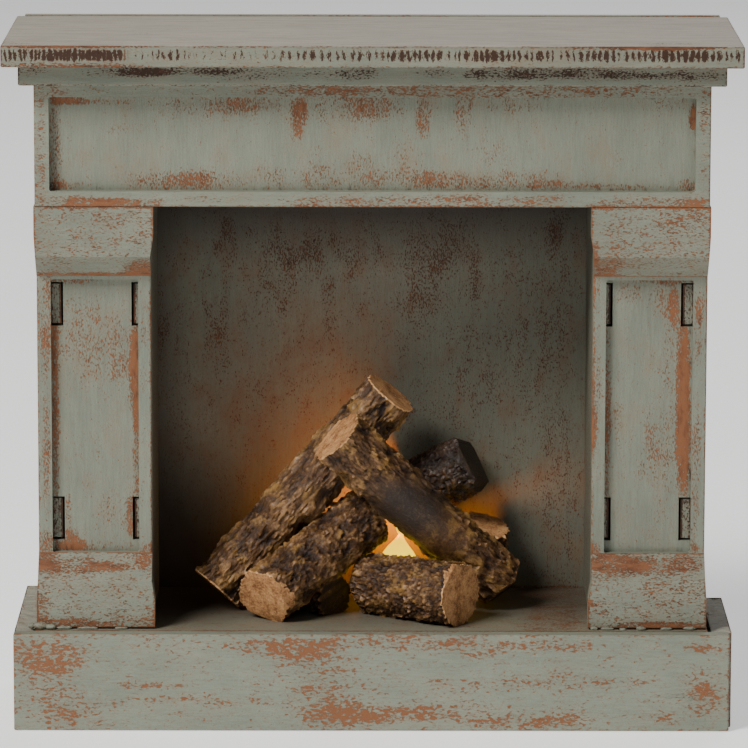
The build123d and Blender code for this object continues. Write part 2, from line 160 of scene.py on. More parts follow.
class Graph:
    """The node tree of one material, with short calls for what the finishes use."""

    def __init__(self, name: str) -> None:
        """Start an empty material with a shader and its output.

        Args:
            name: Name of the material.
        """
        self.material = bpy.data.materials.new(name)
        self.material.use_nodes = True
        self.tree = self.material.node_tree
        self.tree.nodes.clear()
        self.shader = self.add("ShaderNodeBsdfPrincipled")
        output = self.add("ShaderNodeOutputMaterial")
        self.tree.links.new(self.shader.outputs[0], output.inputs["Surface"])
        place = self.add("ShaderNodeTexCoord").outputs["Object"]
        self.point = self.vector("SCALE", place, {"Scale": 1 / MM})

    def add(self, kind: str, settings: Optional[Dict[str, Any]] = None,
            inputs: Optional[Dict[Any, Any]] = None) -> bpy.types.Node:
        """Add any node.

        Args:
            kind: The node's type.
            settings: Its properties, set first. "stops" holds a ramp's (place, colour) pairs.
            inputs: Socket names or numbers, with the value or link of each.
        Returns:
            The node.
        """
        node = self.tree.nodes.new(kind)
        for key, setting in (settings or {}).items():
            if key == "stops":
                self._set_stops(node.color_ramp, setting)
            else:
                setattr(node, key, setting)
        for key, given in (inputs or {}).items():
            self.join(given, node.inputs[key])
        return node

    @staticmethod
    def _set_stops(ramp: bpy.types.ColorRamp, stops: Sequence[Tuple[float, Sequence[float]]]) -> None:
        """Set the stops of a ramp.

        Args:
            ramp: The ramp.
            stops: Its (place, colour) pairs in order.
        """
        while len(ramp.elements) < len(stops):
            ramp.elements.new(0.5)
        for element, (place, colour) in zip(ramp.elements, stops):
            element.position = place
            element.color = colour

    def join(self, given: Any, socket: bpy.types.NodeSocket) -> None:
        """Link something to a socket, or set the socket.

        Args:
            given: A Value or an output to link, or a number, colour or vector to set.
            socket: The input that takes it.
        """
        if isinstance(given, Value):
            self.tree.links.new(given.socket, socket)
        elif isinstance(given, bpy.types.NodeSocket):
            self.tree.links.new(given, socket)
        else:
            socket.default_value = given

    def vector(self, operation: str, first: Any, inputs: Dict[Any, Any]) -> bpy.types.NodeSocket:
        """Add a Vector Math node on first and the other inputs, and return its vector."""
        return self.add("ShaderNodeVectorMath", {"operation": operation}, {0: first, **inputs}).outputs[0]

    def parts(self, vector: Any) -> Tuple[Value, Value, Value]:
        """The three components of a vector."""
        node = self.add("ShaderNodeSeparateXYZ", None, {0: vector})
        return tuple(Value(self, out) for out in node.outputs)

    def noise(self, size: float, stretch: Sequence[float] = (1, 1, 1), detail: float = 3.0,
              rough: float = 0.55, warp: float = 0.0, shift: float = 0.0) -> Value:
        """Cloudy noise.

        Args:
            size: Size of its largest blobs in millimetres.
            stretch: Factor on each axis before the noise is read, small along a streak.
            detail: Number of finer octaves.
            rough: How strong the finer octaves are.
            warp: Distortion of the pattern.
            shift: Offset, to get another pattern.
        Returns:
            The noise, mostly from 0.25 to 0.75.
        """
        spot = self.vector("MULTIPLY", self.point, {1: stretch})
        if shift:
            spot = self.vector("ADD", spot, {1: (shift, shift, shift)})
        node = self.add("ShaderNodeTexNoise", {"noise_dimensions": "3D"},
                        {"Vector": spot, "Scale": 1 / size, "Detail": detail, "Roughness": rough,
                         "Distortion": warp})
        return Value(self, node.outputs[0])

    def mix(self, share: Any, first: Any, second: Any, blend: str = "MIX") -> bpy.types.NodeSocket:
        """Colour between first, at share 0, and second, at share 1."""
        node = self.add("ShaderNodeMix", {"data_type": "RGBA", "blend_type": blend},
                        {0: share, 6: first, 7: second})
        return node.outputs[2]

    def ramp(self, value: Value, stops: Sequence[Tuple[float, Sequence[float]]]) -> bpy.types.NodeSocket:
        """Colour of a value along (place, colour) stops."""
        return self.add("ShaderNodeValToRGB", {"stops": stops}, {0: value}).outputs[0]

    def attribute(self, name: str) -> Value:
        """A number stored on the mesh."""
        return Value(self, self.add("ShaderNodeAttribute", {"attribute_name": name}).outputs["Fac"])

    def bump(self, height: Value, depth: float) -> bpy.types.NodeSocket:
        """Normal of a height map from 0 to 1 that is depth millimetres deep."""
        inputs = {"Height": height, "Distance": depth * MM, "Strength": 1.0}
        return self.add("ShaderNodeBump", None, inputs).outputs[0]

    def finish(self, piece: bpy.types.Object, index: int = 0) -> None:
        """Put the material in one of a piece's slots.

        Args:
            piece: The piece.
            index: The slot.
        """
        while len(piece.data.materials) <= index:
            piece.data.materials.append(None)
        piece.data.materials[index] = self.material


# --- Mesh helper --------------------------------------------------------------------------------
def emboss(piece: bpy.types.Object, name: str, kind: str, size: float, depth: float,
           texture_settings: Optional[Dict[str, Any]] = None,
           press_settings: Optional[Dict[str, Any]] = None) -> None:
    """Press a procedural texture into the mesh of the active piece.

    Args:
        piece: The piece.
        name: Name of the texture.
        kind: The texture's type.
        size: Size of its blobs in metres.
        depth: Depth in millimetres, negative to press the other way.
        texture_settings: Other properties of the texture.
        press_settings: Other properties of the Displace modifier.
    """
    texture = bpy.data.textures.new(name, kind)
    texture.noise_scale = size
    for key, setting in (texture_settings or {}).items():
        setattr(texture, key, setting)
    press = piece.modifiers.new(name, "DISPLACE")
    press.texture = texture
    press.texture_coords = "LOCAL"
    press.strength = depth * MM
    for key, setting in (press_settings or {}).items():
        setattr(press, key, setting)
    bpy.ops.object.modifier_apply(modifier=press.name)


# --- Paint --------------------------------------------------------------------------------------
class Grain(Enum):
    """Which way a board was brushed and rubbed, as factors on X, Y and Z."""

    ACROSS = (0.3, 1.0, 1.0)
    UPRIGHT = (1.0, 1.0, 0.3)
    DEEP = (1.0, 0.3, 1.0)


@dataclass(frozen=True)
class Rub:
    """A place where paint is rubbed away, in millimetres seen from the front."""

    x: float
    z: float
    half_x: float
    half_z: float
    strength: float = 0.2
    y: float = 0.0                # its depth, and how far it reaches there
    half_y: float = 1000.0

    REACH = 1.6                   # radius where it has faded out, over the half size
    FLAT = 1.7                    # height of the fade before it is cut off at 1

    def share(self, graph: Graph) -> Value:
        """How far a point is rubbed.

        Args:
            graph: The material's graph.
        Returns:
            The share, from 0 outside to the strength inside.
        """
        radii = tuple(half * self.REACH for half in (self.half_x, self.half_y, self.half_z))
        centred = graph.add("ShaderNodeMapping", {"vector_type": "TEXTURE"},
                            {"Vector": graph.point, "Location": (self.x, self.y, self.z),
                             "Scale": radii})
        fall = graph.add("ShaderNodeTexGradient", {"gradient_type": "SPHERICAL"},
                         {"Vector": centred.outputs[0]})
        return (Value(graph, fall.outputs["Fac"]) * self.FLAT).held() * self.strength


@dataclass(frozen=True)
class Window:
    """Outline of a frame's opening seen from the front, in millimetres."""

    x: float
    z: float
    half_x: float
    half_z: float

    @classmethod
    def within(cls, node: str, left: float, right: float, bottom: float, top: float) -> "Window":
        """Outline inside a node's box.

        Args:
            node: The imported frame.
            left: Width of its left stile, in millimetres.
            right: Width of its right stile.
            bottom: Height of its lower rail.
            top: Height of its upper rail.
        Returns:
            The outline.
        """
        low, high = (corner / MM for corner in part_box(node))
        left_x, right_x = low.x + left, high.x - right
        low_z, high_z = low.z + bottom, high.z - top
        return cls((left_x + right_x) / 2, (low_z + high_z) / 2, (right_x - left_x) / 2,
                   (high_z - low_z) / 2)

    def outside(self, graph: Graph) -> Value:
        """Distance out of the opening.

        Args:
            graph: The material's graph.
        Returns:
            The distance in millimetres, negative inside the opening.
        """
        offset = graph.vector("SUBTRACT", graph.point, {1: (self.x, 0.0, self.z)})
        gap = graph.vector("ABSOLUTE", offset, {})
        gap = graph.vector("SUBTRACT", gap, {1: (self.half_x, 0.0, self.half_z)})
        x, _, z = graph.parts(gap)
        return x.most(z)


def edge_distance(graph: Graph, piece: bpy.types.Object) -> Value:
    """Distance from a board's surface to its nearest arris.

    Args:
        graph: The material's graph.
        piece: The board.
    Returns:
        The distance in millimetres.
    """
    corners = np.array([v.co for v in piece.data.vertices]) / MM
    low, high = corners.min(0), corners.max(0)
    offset = graph.vector("SUBTRACT", graph.point, {1: tuple((low + high) / 2)})
    inside = graph.vector("SUBTRACT", tuple((high - low) / 2), {1: graph.vector("ABSOLUTE", offset, {})})
    x, y, z = graph.parts(inside)
    return (x + y).least(y + z).least(x + z)


@dataclass(frozen=True)
class Rasp:
    """Row of short upright rasp cuts along a front edge, in millimetres."""

    low_x: float
    high_x: float
    pitch: float
    fill: float                   # share of the row that is cut
    low_z: float = 166.9
    high_z: float = 170.0
    face_y: float = -33.3         # they are cut in front of this depth

    def share(self, graph: Graph) -> Value:
        """Mask of the cuts.

        Args:
            graph: The material's graph.
        Returns:
            The mask, 1 in a cut.
        """
        x, y, z = graph.parts(graph.point)
        wander = graph.noise(3.0, (1, 0, 0.35), 2, 0.6, shift=4.0)
        length = graph.noise(self.pitch * 1.4, (1, 0, 0), 2, 0.6, shift=9.0) * 1.6
        rhythm = ((x + wander * 3.0) * (math.tau / self.pitch)).wave()
        ragged = graph.noise(0.45, (1, 1, 0.45), 3, 0.75, warp=0.8, shift=63.0)
        foot = (z - length).ease(self.low_z - 1.1, self.low_z - 0.3)
        head = (z + length).ease(self.high_z + 1.0, self.high_z + 0.3)
        row = foot * head
        reach = x.ease(self.low_x - 2.0, self.low_x + 2.0) * x.ease(self.high_x + 2.0, self.high_x - 2.0)
        bold = graph.noise(9.0, (1, 0, 0), 2, 0.5, shift=21.0)
        cut = rhythm * 0.22 + ragged * 0.9 + bold * 0.5 - 0.31 + (self.fill - 0.5) * 0.7
        edge = (z - (self.low_z + self.high_z) / 2) / ((self.high_z - self.low_z) / 2)
        cut = (cut - edge * edge * 0.16).ease(0.53, 0.63)
        return cut * row * reach * y.ease(self.face_y + 0.2, self.face_y - 0.2)


@dataclass(frozen=True)
class ChalkPaint:
    """Grey-green chalk paint over brown board, brushed and rubbed through in places, with painted light and
    painted shade where asked.
    """

    grain: Grain = Grain.ACROSS
    wear: float = 0.0             # how much is rubbed through all over
    arris_wear: float = 0.16      # extra along the arrises
    arris_reach: float = 0.8
    rubs: Tuple[Rub, ...] = ()
    opening: Optional[Window] = None
    recess_shade: float = 0.0            # painted shade: brown darkening along the opening's edges, inside it
    recess_shade_reach: float = 2.2
    darkness: float = 0.35        # how dark the bared board is, from orange to umber
    tan: float = 0.25             # thin warm haze in the paint
    # Factor on the paint's brightness that stands in for light: below 1 it is painted shade, above 1 painted
    # light.
    shade: float = 1.0
    island: float = 0.34          # size of the bared specks across the grain
    shade_patches: Tuple[Rub, ...] = ()   # places darkened with brown as painted shade
    rasps: Tuple[Rasp, ...] = ()
    top_painted_light: float = 0.0         # painted light: how much paler the upward faces are, streaked like brushing

    SAGE_DEEP = tint(106, 113, 101)
    SAGE = tint(119, 126, 112)
    SAGE_PALE = tint(131, 137, 122)
    TAN = tint(124, 106, 84)
    THIN = tint(124, 90, 66)
    ORANGE = tint(130, 80, 48)
    RUST = tint(100, 56, 30)
    UMBER = tint(44, 21, 7)
    # Brown of the painted shade along an opening's edges.
    RECESS_SHADE = tint(48, 29, 15)
    # Brown of the painted shade patches.
    PAINTED_SHADE_BROWN = tint(34, 20, 10)
    # Pale of the painted light on upward faces.
    PAINTED_TOP_LIGHT = tint(176, 165, 152)

    RUB_WEIGHT = 0.6
    BARED = (0.695, 0.735)        # wear between which the board shows
    THINNED = (0.53, 0.68)        # wear between which the paint is thin

    def rubbed(self, graph: Graph, arris: Value) -> Tuple[Value, Value]:
        """Masks of the wear.

        Args:
            graph: The material's graph.
            arris: Distance to the nearest arris.
        Returns:
            The mask of the bared board, and that of the thin paint round it.
        """
        worn = tuple(factor ** 0.6 for factor in self.grain.value)
        fine = graph.noise(self.island, worn, 3, 0.6, warp=0.35)
        cluster = graph.noise(2.4, worn, 3, 0.6, shift=37.0)
        total = fine * 0.76 + cluster * 0.28 + self.wear + 0.015
        total = total + arris.ease(self.arris_reach, 0.0) * self.arris_wear
        for rub in self.rubs:
            total = total + rub.share(graph) * self.RUB_WEIGHT
        grit = graph.noise(0.2, self.grain.value, 3, 0.7, shift=7.0)
        return total.ease(*self.BARED), (total * 0.62 + grit * 0.38).ease(*self.THINNED)

    def coat(self, graph: Graph, brush: Value, thin: Value) -> bpy.types.NodeSocket:
        """Colour of the paint where it still covers the board, brightened or darkened as painted light and
        shade, with painted light on upward faces.

        Args:
            graph: The material's graph.
            brush: The brush marks.
            thin: Mask of the thin paint.
        Returns:
            The colour.
        """
        cloud = graph.noise(5.0, self.grain.value, 4, 0.6, shift=11.0)
        broad = graph.noise(24.0, (1, 1, 1), 2, 0.5, shift=5.0)
        tone = brush * 0.35 + cloud * 0.3 + broad * 0.35
        paint = graph.ramp(tone, [(0.34, self.SAGE_DEEP), (0.5, self.SAGE), (0.66, self.SAGE_PALE)])
        haze = (cloud * 0.5 + graph.noise(9.0, (1, 1, 1), 3, 0.6, shift=71.0) * 0.5).ease(0.47, 0.66)
        paint = graph.mix((haze * 0.7 + self.tan * 0.3) * self.tan, paint, self.TAN)
        paint = graph.mix(thin * 0.6, paint, self.THIN)
        # Painted light and shade: the whole paint is multiplied by the board's brightness factor.
        if self.shade != 1.0:
            grey = (self.shade, self.shade, self.shade, 1.0)
            paint = graph.mix(1.0, paint, grey, "MULTIPLY")
        # Painted light: upward faces are made paler, in streaks.
        if self.top_painted_light:
            _, _, up = graph.parts(graph.add("ShaderNodeNewGeometry").outputs["Normal"])
            streak = graph.noise(0.6, (0.05, 1, 1), 4, 0.75, shift=81.0).ease(0.32, 0.62) * 0.75 + 0.25
            paint = graph.mix(up.ease(0.6, 0.9) * streak * self.top_painted_light, paint, self.PAINTED_TOP_LIGHT)
        return paint

    def marked(self, graph: Graph, colour: bpy.types.NodeSocket) -> bpy.types.NodeSocket:
        """Lay the rasp cuts, the painted shade patches and the painted shade beside the opening over a
        colour.

        Args:
            graph: The material's graph.
            colour: The paint and the bared board.
        Returns:
            The marked colour.
        """
        for rasp in self.rasps:
            cut = rasp.share(graph)
            colour = graph.mix(cut.ease(0.05, 0.4) * 0.7, colour, self.RUST)
            colour = graph.mix(cut.ease(0.35, 0.8) * 0.9, colour, self.UMBER)
        # Painted shade: patches darkened with brown where shadow falls.
        for soot in self.shade_patches:
            colour = graph.mix(soot.share(graph), colour, self.PAINTED_SHADE_BROWN)
        # Painted shade: brown darkening inside the opening, strongest along its edges.
        if self.opening is not None and self.recess_shade:
            depth = 0.0 - self.opening.outside(graph)
            smear = graph.noise(1.6, self.grain.value, 4, 0.65, shift=51.0)
            stain = (smear * 0.9 + depth.ease(self.recess_shade_reach, 0.0) * self.recess_shade).ease(0.62, 0.86)
            colour = graph.mix(stain * 0.85, colour, self.RECESS_SHADE)
        return colour

    def dress(self, piece: bpy.types.Object) -> None:
        """Give a board this finish.

        Args:
            piece: The board.
        """
        graph = Graph(f"chalk_paint.{piece.name}")
        bared, thin = self.rubbed(graph, edge_distance(graph, piece))
        along = tuple(0.3 * factor if factor < 1 else factor for factor in self.grain.value)
        brush = graph.noise(0.5, along, 3, 0.6)
        board_tone = graph.noise(1.1, self.grain.value, 4, 0.65, shift=23.0) + (self.darkness - 0.5)
        board = graph.ramp(board_tone, [(0.3, self.ORANGE), (0.5, self.RUST), (0.75, self.UMBER)])
        paint = self.coat(graph, brush, thin)
        colour = self.marked(graph, graph.mix(bared * 0.9, paint, board))
        grit = graph.noise(0.3, (1, 1, 1), 3, 0.7, shift=15.0)
        relief = (1.0 - bared) * 0.4 + brush * 0.25 + grit * 0.35
        shader = graph.shader
        graph.join(colour, shader.inputs["Base Color"])
        graph.join(bared * 0.12 + brush * 0.25 + 0.42, shader.inputs["Roughness"])
        graph.join(graph.bump(relief, 0.2), shader.inputs["Normal"])
        shader.inputs["Specular IOR Level"].default_value = 0.3
        graph.finish(piece)


# --- Studio -------------------------------------------------------------------------------------
@dataclass
class Studio:
    """Pale floor, soft light from the upper front left and the camera."""

    camera_x: float = -0.00148
    camera_y: float = -1.35282
    camera_z: float = 0.3253
    pitch: float = 10.10          # degrees below level
    yaw: float = 0.085
    roll: float = 0.113
    lens: float = 264.2
    floor_radius: float = 6.0

    def camera(self) -> None:
        """Set up the camera in front of the mantel, a little above it."""
        data = bpy.data.cameras.new("camera")
        data.lens = self.lens
        data.sensor_width = 36.0
        data.clip_start = 0.01
        data.clip_end = 50.0
        camera = bpy.data.objects.new("camera", data)
        bpy.context.scene.collection.objects.link(camera)
        turn = Matrix.Rotation(math.radians(-self.yaw), 4, "Z")
        tip = Matrix.Rotation(math.radians(90 - self.pitch), 4, "X")
        bank = Matrix.Rotation(math.radians(self.roll), 4, "Z")
        place = Matrix.Translation((self.camera_x, self.camera_y, self.camera_z))
        camera.matrix_world = place @ turn @ tip @ bank
        bpy.context.scene.camera = camera

    def floor(self) -> None:
        """Wide pale floor."""
        bpy.ops.object.select_all(action="DESELECT")
        bpy.ops.mesh.primitive_circle_add(vertices=96, radius=self.floor_radius, fill_type="NGON",
                                          location=(0, 0, -0.0001))
        floor = bpy.context.object
        floor.name = "floor"
        graph = Graph("pale_floor")
        mottle = graph.noise(180.0, (1, 1, 1), 3)
        graph.join(graph.ramp(mottle, [(0.3, tint(243, 243, 242)), (0.7, tint(249, 249, 248))]),
                   graph.shader.inputs["Base Color"])
        graph.shader.inputs["Emission Color"].default_value = (1.0, 1.0, 1.0, 1.0)
        graph.shader.inputs["Emission Strength"].default_value = 0.5
        graph.join(0.75, graph.shader.inputs["Roughness"])
        graph.finish(floor)

    @staticmethod
    def area_light(name: str, place: Sequence[float], aim: Sequence[float], size: float,
                   power: float, colour: Colour) -> None:
        """Add a square soft box.

        Args:
            name: Name of the light.
            place: Where it stands, in metres.
            aim: The point that it faces.
            size: Length of its side, in metres.
            power: Its power in watts.
            colour: Its colour.
        """
        data = bpy.data.lights.new(name, "AREA")
        data.shape = "SQUARE"
        data.size = size
        data.energy = power
        data.color = colour
        lamp = bpy.data.objects.new(name, data)
        bpy.context.scene.collection.objects.link(lamp)
        lamp.location = place
        lamp.rotation_euler = (Vector(aim) - Vector(place)).to_track_quat("-Z", "Y").to_euler()

    def lights(self) -> None:
        """Key, fill and sky."""
        self.area_light("key", (-0.78, -0.78, 1.12), (0.0, 0.0, 0.09), 0.5, 27.5, (1.0, 0.985, 0.96))
        self.area_light("fill", (0.5, -1.0, 1.0), (0.0, 0.0, 0.08), 0.8, 1.6, (0.97, 0.98, 1.0))
        self.area_light("back", (0.3, 1.0, 1.1), (0.0, 0.0, 0.1), 0.9, 6.0, (1.0, 1.0, 1.0))
        world = bpy.data.worlds.new("sky")
        world.use_nodes = True
        sky = world.node_tree.nodes["Background"]
        sky.inputs["Color"].default_value = (0.95, 0.97, 1.0, 1.0)
        sky.inputs["Strength"].default_value = 0.06
        bpy.context.scene.world = world


# --- Other finishes -----------------------------------------------------------------------------
@dataclass(frozen=True)
class BareBoard:
    """Brown fibreboard left bare, with a fuzzy face."""

    PALE = tint(158, 126, 92)
    BROWN = tint(124, 92, 62)

    def dress(self, piece: bpy.types.Object) -> None:
        """Give a hidden board this finish.

        Args:
            piece: The board.
        """
        graph = Graph(f"bare_board.{piece.name}")
        fibres = graph.noise(0.5, (1, 1, 1), 4, 0.7, warp=1.5)
        cloud = graph.noise(9.0, (1, 1, 1), 3, 0.6)
        colour = graph.ramp(fibres * 0.6 + cloud * 0.4, [(0.35, self.BROWN), (0.65, self.PALE)])
        arris = edge_distance(graph, piece)
        scuff = (graph.noise(0.8, (1, 1, 1), 4, 0.7) + arris.ease(1.0, 0.0) * 0.2).ease(0.62, 0.72)
        colour = graph.mix(scuff * 0.6, colour, tint(88, 60, 38))
        graph.join(colour, graph.shader.inputs["Base Color"])
        graph.join(fibres * 0.2 + 0.7, graph.shader.inputs["Roughness"])
        graph.join(graph.bump(fibres, 0.08), graph.shader.inputs["Normal"])
        graph.finish(piece)


@dataclass(frozen=True)
class Bark:
    """Cast bark, glazed brown, with raised crust picked out in tan and grey."""

    yellow: float = 0.3           # share of yellow-tan patches
    pale: float = 0.5             # how pale the raised crust is
    char: float = 0.0             # how burnt the whole log is
    burns: Tuple[Rub, ...] = ()   # burnt places
    bared: Tuple[Rub, ...] = ()   # places where the bark is off and pale wood shows

    DEEP = tint(18, 9, 3)
    UMBER = tint(50, 29, 12)
    BROWN = tint(92, 61, 30)
    TAN = tint(162, 122, 78)
    OCHRE = tint(146, 108, 54)
    LILAC = tint(142, 122, 112)
    CHAR = tint(40, 30, 24)
    ASH = tint(92, 82, 76)

    def dress(self, piece: bpy.types.Object, index: int = 0) -> None:
        """Give a log this bark. It reads the relief that the log stores.

        Args:
            piece: The log.
            index: Its material slot.
        """
        graph = Graph(f"bark.{piece.name}")
        relief = graph.attribute("relief")
        chip = graph.attribute("chip")
        crust = graph.noise(0.7, (1, 1, 1), 5, 0.7, warp=0.8)
        height = relief * 0.62 + crust * 0.38
        place = height + (self.pale - 0.5) * 0.2
        colour = graph.ramp(place, [(0.28, self.DEEP), (0.41, self.UMBER), (0.54, self.BROWN),
                                    (0.7, self.TAN)])
        patch = (graph.noise(5.5, (1, 1, 1), 3, 0.6, shift=9.0) + (self.yellow - 0.5) * 0.3)
        yellow = patch.ease(0.5, 0.6) * height.ease(0.38, 0.6)
        colour = graph.mix(yellow * 0.75, colour, self.OCHRE)
        fleck = graph.noise(1.0, (1, 1, 1), 4, 0.7, warp=1.2, shift=31.0).ease(0.56, 0.66)
        fleck = fleck * height.ease(0.45, 0.6) * (1.0 - yellow)
        colour = graph.mix(fleck * 0.22, colour, self.LILAC)
        burnt = self.char
        for burn in self.burns:
            burnt = burn.share(graph) + burnt
        if self.burns or self.char:
            soot = graph.mix(crust.ease(0.5, 0.75) * 0.6, self.CHAR, self.ASH)
            streaky = graph.noise(2.0, (1, 1, 1), 4, 0.7, shift=3.0) * 0.5 - 0.25
            burnt = (burnt + streaky).held() if isinstance(burnt, Value) else (streaky + burnt).held()
            colour = graph.mix(burnt, colour, soot)
        chipped = (chip + graph.noise(1.2, (1, 1, 1), 3, 0.6, shift=17.0) * 0.8).ease(0.98, 1.06)
        colour = graph.mix(chipped, colour, SawnWood.PALE)
        for bare in self.bared:
            wood = (bare.share(graph) + crust * 0.4).ease(0.55, 0.65)
            colour = graph.mix(wood, colour, SawnWood.PALE)
        graph.join(colour, graph.shader.inputs["Base Color"])
        graph.join(0.62 - height * 0.28, graph.shader.inputs["Roughness"])
        graph.join(height.ease(0.4, 0.7) * 0.2, graph.shader.inputs["Coat Weight"])
        graph.shader.inputs["Coat Roughness"].default_value = 0.3
        graph.shader.inputs["Specular IOR Level"].default_value = 0.35
        fine = graph.noise(0.35, (1, 1, 1), 3, 0.6)
        graph.join(graph.bump(crust * 0.6 + fine * 0.4, 0.35), graph.shader.inputs["Normal"])
        graph.finish(piece, index)


@dataclass(frozen=True)
class SawnWood:
    """Pale sawn face at the end of a log, a little scorched in places."""

    scorch: float = 0.2

    PALE = tint(204, 154, 102)
    MID = tint(172, 120, 72)
    BROWN = tint(120, 78, 42)

    def dress(self, piece: bpy.types.Object, index: int = 1) -> None:
        """Give a log's cut ends this finish.

        Args:
            piece: The log.
            index: Its material slot.
        """
        graph = Graph(f"sawn_wood.{piece.name}")
        fibre = graph.noise(0.6, (1, 1, 1), 4, 0.65, warp=0.7)
        cloud = graph.noise(3.2, (1, 1, 1), 3, 0.6, shift=13.0)
        colour = graph.ramp(fibre * 0.5 + cloud * 0.5, [(0.4, self.BROWN), (0.48, self.MID),
                                                        (0.6, self.PALE)])
        stain = graph.noise(1.7, (1, 1, 1), 4, 0.7, shift=29.0).ease(0.56, 0.7) * self.scorch
        colour = graph.mix(stain, colour, self.BROWN)
        graph.join(colour, graph.shader.inputs["Base Color"])
        graph.join(fibre * 0.2 + 0.6, graph.shader.inputs["Roughness"])
        crack = graph.noise(1.3, (1, 1, 1), 4, 0.7, warp=1.5, shift=43.0)
        graph.join(graph.bump(fibre * 0.3 + cloud * 0.3 + crack * 0.4, 0.9), graph.shader.inputs["Normal"])
        graph.finish(piece, index)


@dataclass(frozen=True)
class Moulding:
    """Moulded plastic with a faint sparked texture and handling marks."""

    name: str
    colour: Tint
    rough: float = 0.4

    def dress(self, piece: bpy.types.Object) -> None:
        """Give a moulded part this finish.

        Args:
            piece: The part.
        """
        graph = Graph(f"{self.name}.{piece.name}")
        spark = graph.noise(0.18, (1, 1, 1), 3, 0.6)
        smudge = graph.noise(5.0, (1, 1, 1), 3, 0.6)
        darker = tuple(channel * 0.82 for channel in self.colour[:3]) + (1.0,)
        graph.join(graph.mix(smudge.ease(0.45, 0.7) * 0.5, self.colour, darker),
                   graph.shader.inputs["Base Color"])
        graph.join(smudge * 0.2 + (self.rough - 0.1), graph.shader.inputs["Roughness"])
        graph.join(graph.bump(spark, 0.02), graph.shader.inputs["Normal"])
        graph.finish(piece)


@dataclass(frozen=True)
class Metal:
    """Plain sheet metal with fine rolling marks."""

    name: str
    colour: Tint

    def dress(self, piece: bpy.types.Object) -> None:
        """Give a metal part this finish.

        Args:
            piece: The part.
        """
        graph = Graph(f"{self.name}.{piece.name}")
        marks = graph.noise(0.3, (0.1, 1, 1), 3, 0.6)
        dull = graph.noise(3.0, (1, 1, 1), 3, 0.6)
        tarnish = tuple(channel * 0.6 for channel in self.colour[:3]) + (1.0,)
        graph.join(graph.mix(dull.ease(0.5, 0.75) * 0.5, self.colour, tarnish),
                   graph.shader.inputs["Base Color"])
        graph.shader.inputs["Metallic"].default_value = 1.0
        graph.join(marks * 0.25 + 0.2, graph.shader.inputs["Roughness"])
        graph.join(graph.bump(marks, 0.01), graph.shader.inputs["Normal"])
        graph.finish(piece)


@dataclass(frozen=True)
class Glow:
    """Lit plastic, brightest low down and amber towards the tip and the rim."""

    name: str
    core: Tint
    rim: Tint
    strength: float
    low: float                    # heights in millimetres between which it turns amber
    high: float

    def dress(self, piece: bpy.types.Object) -> None:
        """Give a lit part this finish.

        Args:
            piece: The part.
        """
        graph = Graph(f"{self.name}.{piece.name}")
        across = [vertex.co.x / MM for vertex in piece.data.vertices]
        left, right = min(across), max(across)
        x, _, z = graph.parts(graph.point)
        side = (x - (left + right) / 2) * (2 / (right - left))
        rim = side * side
        speckle = graph.noise(0.7, (1, 1, 1), 3, 0.6) * 0.25
        turn = (z.ease(self.low, self.high) * 0.7 + rim * rim * 0.5 + speckle - 0.12).held()
        colour = graph.mix(turn, self.core, self.rim)
        graph.join(graph.mix(0.7, colour, (0.02, 0.01, 0.0, 1.0)), graph.shader.inputs["Base Color"])
        graph.join(colour, graph.shader.inputs["Emission Color"])
        graph.shader.inputs["Emission Strength"].default_value = self.strength
        graph.shader.inputs["Roughness"].default_value = 0.4
        graph.finish(piece)


